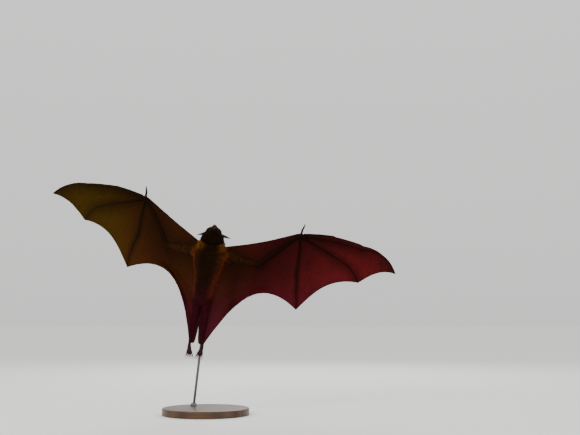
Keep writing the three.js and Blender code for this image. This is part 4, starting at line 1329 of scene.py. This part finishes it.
def described(points):
    """The rufous, bare and warm values of skin vertices."""
    q = (points - OCCIPUT) @ FACE.T
    along, up = q[:, 1], q[:, 2]
    nose = smoothstep(along, 56.2, 58.4)
    lips = smoothstep(np.abs(up - mouth_line(along)), 1.7, 0.9) * smoothstep(along, 27, 33) * 0.9
    lids = sum(
        smoothstep(np.linalg.norm(points - EYE_CENTRE[side], axis=1), 7.1, 6.5) for side in (1, -1))
    feet = smoothstep(points[:, 2], -312, -320)
    head = smoothstep(along, 20, 24)
    bare = np.clip(np.maximum.reduce([nose, lips * head, lids, feet]), 0, 1)
    warm = np.clip(0.5 * nose + 0.35 * lips * head, 0, 1)
    return {"rufous": rufous(points), "bare": bare, "warm": warm}


def tail_web():
    """The narrow web between the legs, notched towards the tail."""
    rows, columns = 60, 41
    v, u = np.meshgrid(np.linspace(0, 1, rows), np.linspace(0, 1, columns), indexing="ij")
    reach = 0.6 + 0.355 * (1 - (1 - np.minimum(1, 2.2 * np.abs(2 * u - 1))) ** 2.4)
    t = (0.05 + (reach - 0.05) * v) * 2
    lines = [spline([leg_joint(name, side) for name in ("hip", "knee", "ankle")], t) for side in (-1, 1)]
    points = between(*lines, u).reshape(-1, 3)
    quads = grid_faces(rows, columns)
    normals = normals_of(points, quads[:, :3])
    points = points + normals * (0.5 * ripple(points, 15, 8))[:, None]
    inward = np.clip(4 - flesh(points), 0, 4)
    half = TAIL_WEB_HALF + 4 - np.sqrt(np.maximum(16 - inward**2, 0))
    return sandwich(points + normals * half[:, None], points - normals * half[:, None], quads)


NECK_CUT, ANKLE_CUT = -4.0, -310.0
DOWN, UP = np.array([0, 0, -1.0]), np.array([0, 0, 1.0])
head_shell = shell(head_field, (-36, -44, -10), (46, 38, 74), VOXELS["head"],
                   [(np.array([0, 0, NECK_CUT]), DOWN, 3.0)])
body_shell = shell(flesh, (-95, -50, -320), (102, 62, 4), VOXELS["body"],
                   [(np.array([0, 0, NECK_CUT - 0.5]), UP, 5.0),
                    (np.array([0, 0, ANKLE_CUT - 0.5]), DOWN, 5.0)])
foot_shells = [
    shell(foot_field, leg_joint("ankle", side) - (17, 18, 44), leg_joint("ankle", side) + (17, 12, 12),
          VOXELS["foot"], [(np.array([0, 0, ANKLE_CUT]), UP, 3.0)])
    for side in (1, -1)
]
parts = [(points, faces, described(points)) for points, faces in (head_shell, body_shell, *foot_shells)]
for side in (1, -1):
    points, faces = ear(side)
    parts.append((points, faces, {"bare": np.full(len(points), 0.9), "warm": np.full(len(points), 0.3)}))
points, faces, values = gather(parts)
skin = make("skin", points, faces, SKIN, values)
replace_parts(skin, "trunk", "neck", "head", "lower_jaw", "nose",
            *(f"{node}_{name}" for node in ("ear", "thigh", "shank", "foot") for name in ("left", "right")))

points, faces = tail_web()
beside_leg = legs_field(points)
# Painted shade on the web beside the legs.
values = {"soft": np.exp(-((np.clip(beside_leg, 0, 99) / 5) ** 2)), "body": np.clip(flesh(points), -5, 200)}
tail_membrane = make("tail_membrane", points, faces, MEMBRANE, values)
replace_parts(tail_membrane, "uropatagium")

wing_coats = {}
for name, side in SIDES.items():
    sheet_points, sheet_faces, sheet_values, bone = wing_parts(name)
    hand_points, hand_faces, hand_values, thumb_line = hand_parts(name, bone)
    wing_coats[name] = (sheet_points, sheet_faces, sheet_values)
    points, faces, values = gather([(sheet_points, sheet_faces, sheet_values),
                                    (hand_points, hand_faces, hand_values)])
    wing = make(f"wing_{name}", points, faces, MEMBRANE, values)
    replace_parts(wing, *(f"{node}_{name}" for node in (
        "upper_arm", "forearm", "wrist", "thumb", "digit_2", "digit_3", "digit_4", "digit_5",
        "web_2_3", "web_3_4", "web_4_5", "propatagium", "plagiopatagium")))

    end = unit(thumb_line[-1] - thumb_line[-2])
    down = np.array([-side * 0.8, -0.6, 0])
    down = unit(down - end * (down @ end))
    points, faces, values = claw_parts(thumb_line[-1] + end * 0.2, end, down, "thumb")
    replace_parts(make(f"claw_thumb_{name}", points, faces, HORN, values),
                f"thumb_claw_{name}")

    second = on_wing(side, bone["second"].point(np.array([0.97, 1.0])))
    end = unit(second[1] - second[0])
    points, faces, values = claw_parts(second[1] + end * 0.2, end, np.array([0, -1.0, 0]), "digit")
    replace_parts(make(f"claw_digit_2_{name}", points, faces, HORN, values),
                f"digit_2_claw_{name}")

    points, faces, values = foot_claws(side)
    claws = make(f"claws_foot_{name}", points, faces, HORN, values)
    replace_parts(claws, *(f"foot_claw_{k}_{name}" for k in range(1, 6)))

    points, faces, values = eye_parts(side)
    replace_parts(make(f"eyeball_{name}", points, faces, EYEBALL, values), f"eye_{name}")

# ------------------------------------------------------------------ the coat on the body


def lie(points):
    """The way the hair points: back from the nose, down trunk and legs, out along the arms."""
    number = np.clip(section_number(points) * STEPS, 0, len(FINE) - 1).astype(int)
    trunk = -FINE_FRAMES[number, 1]
    leg = leg_share(points, -2, 6)[:, None]
    leg_way = unit(np.array([0, -0.25, -1.0]))
    arm = smoothstep(np.abs(points[:, 0] - CHEST_MIDDLE), 36, 58)[:, None] * (points[:, 2] > -90)[:, None]
    side = np.sign(points[:, :1] - CHEST_MIDDLE)
    arm_way = side * np.array([1.0, 0, 0]) + np.array([0, 0.15, -0.25])
    return trunk * (1 - leg) * (1 - arm) + leg_way * leg + arm_way * arm


def unwrap(points, normals):
    """Places on an unwrap of the body: round it and along it, with the legs beside."""
    number, angle = round_body(points)
    u = (angle / (2 * math.pi) + 0.5) * 0.68 + 0.005
    v = number / NOSE * 0.98 + 0.005
    leg = legs_field(points) < loft(points)
    side = np.where(points[:, 0] > LEGS_MIDDLE, 1, -1)
    turned = np.arctan2(normals[:, 0], -normals[:, 1]) / (2 * math.pi) + 0.5
    u = np.where(leg, np.where(side > 0, 0.71, 0.86) + turned * 0.13, u)
    v = np.where(leg, np.clip((points[:, 2] + 335) / 180, 0, 1) * 0.98 + 0.005, v)
    return np.stack([u, v], 1)


def furred_surface(parts, low, high):
    """Points, triangles and normals of a shell between two heights."""
    points, faces = parts
    tris = triangles(faces)
    middle = points[tris].mean(1)
    tris = tris[(middle[:, 2] > low) & (middle[:, 2] <= high)]
    used, tris = np.unique(tris, return_inverse=True)
    tris = tris.reshape(-1, 3)
    points = points[used]
    return points, tris, normals_of(points, tris)


HEAD_DENSITY, FACE_EXTRA, BODY_DENSITY, LEG_EXTRA, ARM_DENSITY = 1.2, 1.4, 1.4, 0.05, 1.2  # a mm2
HEAD_HAIR = ([7, 8, 9, 10, 11, 12, 13, 14], [13, 12, 7.5, 5.5, 4.2, 3.2, 2.4, 1.7])  # section, mm
BODY_HAIR = ([0, 2, 4, 6, 7], [7, 9, 10, 11, 13])
NECK_FROM, CHEST_FROM = 6.3, 4.4  # section numbers where the coat's pieces part


def coat_depth(number):
    return np.interp(number, np.arange(NOSE + 1), SECTIONS[:, 8])


head_surface = furred_surface(head_shell, NECK_CUT, 99)
body_surface = furred_surface(body_shell, ANKLE_CUT - 6, NECK_CUT)

dice = np.random.default_rng(41)
values = described(head_surface[0])
number = section_number(head_surface[0])
face_density = (1 - smoothstep(values["bare"], 0.1, 0.6)) * (
    HEAD_DENSITY + FACE_EXTRA * smoothstep(number, 8.0, 12.5))
roots, normals = scatter(*head_surface, face_density, dice)
number = section_number(roots)
depth = coat_depth(number)
lids_near = np.minimum(*(np.linalg.norm(roots - EYE_CENTRE[side], axis=1) for side in (1, -1)))
fine_face = smoothstep(number, 8.4, 12.0)
shorter = 0.4 + 0.6 * smoothstep(lids_near, 7.0, 12)
length = np.interp(number, *HEAD_HAIR) * shorter
rise = depth * (1.1 - 0.2 * fine_face) * shorter
coat("coat_head", roots, normals, lie(roots), length, 1.0 - 0.6 * fine_face, rise,
     unwrap(roots, normals), dice, "black_fur")

points, tris, surface_normals = body_surface
on_leg = leg_share(points, -1, 3)
on_foot = smoothstep(points[:, 2], -306, -320)
density = (BODY_DENSITY + LEG_EXTRA * on_leg) * (1 - on_foot)
roots, normals = scatter(points, tris, surface_normals, density, dice)
number, angle = round_body(roots)
leg = leg_share(roots, -2, 5)
down_leg = np.clip((HIP_HEIGHT - roots[:, 2]) / (HIP_HEIGHT - ANKLE_HEIGHT), 0, 1)
depth = coat_depth(number) * (1 - leg) + (2.9 - 1.9 * down_leg) * leg
arm_end = smoothstep(np.abs(roots[:, 0] - CHEST_MIDDLE), 44, 70)
depth = depth * (1 - 0.6 * arm_end)
length = np.interp(number, *BODY_HAIR) * (1 - leg) + (6.5 - 4 * down_leg) * leg
width = 1.05 * (1 - leg) + (0.9 - 0.35 * down_leg) * leg
flow, places = lie(roots), unwrap(roots, normals)
belly = np.abs(angle) < math.pi / 2
on_trunk, on_left = leg < 0.5, roots[:, 0] > LEGS_MIDDLE
chest = on_trunk & (number <= NECK_FROM) & (number > CHEST_FROM)
loins = on_trunk & (number <= CHEST_FROM)
regions = {
    "coat_neck": on_trunk & (number > NECK_FROM),
    "coat_belly": chest & belly,
    "coat_loins": loins & belly,
    "coat_back": chest & ~belly,
    "coat_rump": loins & ~belly,
    "coat_leg_left": ~on_trunk & on_left,
    "coat_leg_right": ~on_trunk & ~on_left,
}
for name, mine in regions.items():
    slot = "collar_fur" if name == "coat_neck" else "black_fur"
    coat(name, roots[mine], normals[mine], flow[mine], length[mine], width[mine], depth[mine],
         places[mine], dice, slot)

# Upper arms, the roots of the wings and a thin down towards the elbows.
for name, side in SIDES.items():
    points, faces, values = wing_coats[name]
    count = len(points) // 2
    reach = side * points[:, 0]
    along_arm = smoothstep(values["arm"], 12, 6.5) * smoothstep(reach, 165, 120)
    by_flank = smoothstep(points[:, 2], -235, -120)
    by_body = smoothstep(values["body"], 3 + 13 * by_flank, 1) * by_flank
    furred = np.clip(np.maximum(along_arm, by_body), 0, 1)
    tris = triangles(faces[:1])
    keep = furred[tris].min(1) > 0.02
    used, tris = np.unique(tris[keep], return_inverse=True)
    tris = np.vstack([tris.reshape(-1, 3), tris.reshape(-1, 3)[:, ::-1] + len(used)])
    both = np.concatenate([used, used + count])
    points, furred = points[both], furred[both] * (flesh(points[both]) > -0.6)
    normals = normals_of(points, tris)
    roots, normals = scatter(points, tris, normals, ARM_DENSITY * furred, dice)
    cover = smoothstep(np.abs(side * roots[:, 0]), 170, 60)
    flow = np.array([side * 1.0, 0, -0.35]) * np.ones((len(roots), 1))
    rise = 1.2 + 2.0 * cover
    v = np.clip((roots[:, 2] + 340) / 460, 0, 1) * 0.98
    u = np.clip(side * roots[:, 0] / 200, 0, 1) * 0.46 + np.where(normals[:, 1] > 0, 0.5, 0.005)
    coat(f"coat_arm_{name}", roots, normals, flow, 3.5 + 4.5 * cover, 0.7 + 0.35 * cover, rise,
         np.stack([u, v], 1), dice, "black_fur")

# ------------------------------------------------------------------ the stand


def turned(profile, centre):
    """A solid of revolution about an upright line, from (radius, height) pairs off the axis."""
    sides = 112
    profile = np.asarray(profile, float)
    angle = np.linspace(0, 2 * math.pi, sides, endpoint=False)
    ring = np.stack([np.cos(angle), np.sin(angle), np.zeros(sides)], -1)
    points = (profile[:, None, :1] * ring + profile[:, None, 1:] * UP).reshape(-1, 3)
    points = np.vstack([points, [(0, 0, profile[0, 1])], [(0, 0, profile[-1, 1])]])
    return points + np.asarray(centre, float), ring_faces(len(profile), sides)


def rounded(radius, height, bevel):
    """The profile of a rounded upper edge."""
    return [(radius - bevel + bevel * math.cos(a), height - bevel + bevel * math.sin(a))
            for a in np.linspace(0, math.pi / 2, 9)]


def stand_piece(name, shape, material, node):
    made = make(name, *shape, material, place=lambda points: np.asarray(points) / 1000)
    made.data.set_sharp_from_angle(angle=math.radians(35))
    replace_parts(made, node)


base = [(STAND_RADIUS - STAND_CHAMFER, 0), (STAND_RADIUS, STAND_CHAMFER),
        *rounded(STAND_RADIUS, STAND_HEIGHT, STAND_BEVEL)]
stand_piece("display_base", turned(base, (0, 0, 0)), WALNUT, "stand_base")
collar = [(COLLAR_RADIUS, 0), (COLLAR_RADIUS, 2.2), (COLLAR_RADIUS - 1.2, 3.0),  # a stepped flange
          *rounded(COLLAR_RADIUS * 0.8, COLLAR_HEIGHT, COLLAR_BEVEL)]
stand_piece("display_collar", turned(collar, (ROD_FOOT[0], ROD_FOOT[1], STAND_HEIGHT)),
            STEEL, "stand_collar")
foot, top = np.array(ROD_FOOT), np.array(ROD_TOP)
top = top + unit(top - foot) * ROD_SINK
stand_piece("display_rod", tube(np.linspace(foot, top, 9), ROD_RADIUS, sides=40), STEEL, "stand_rod")
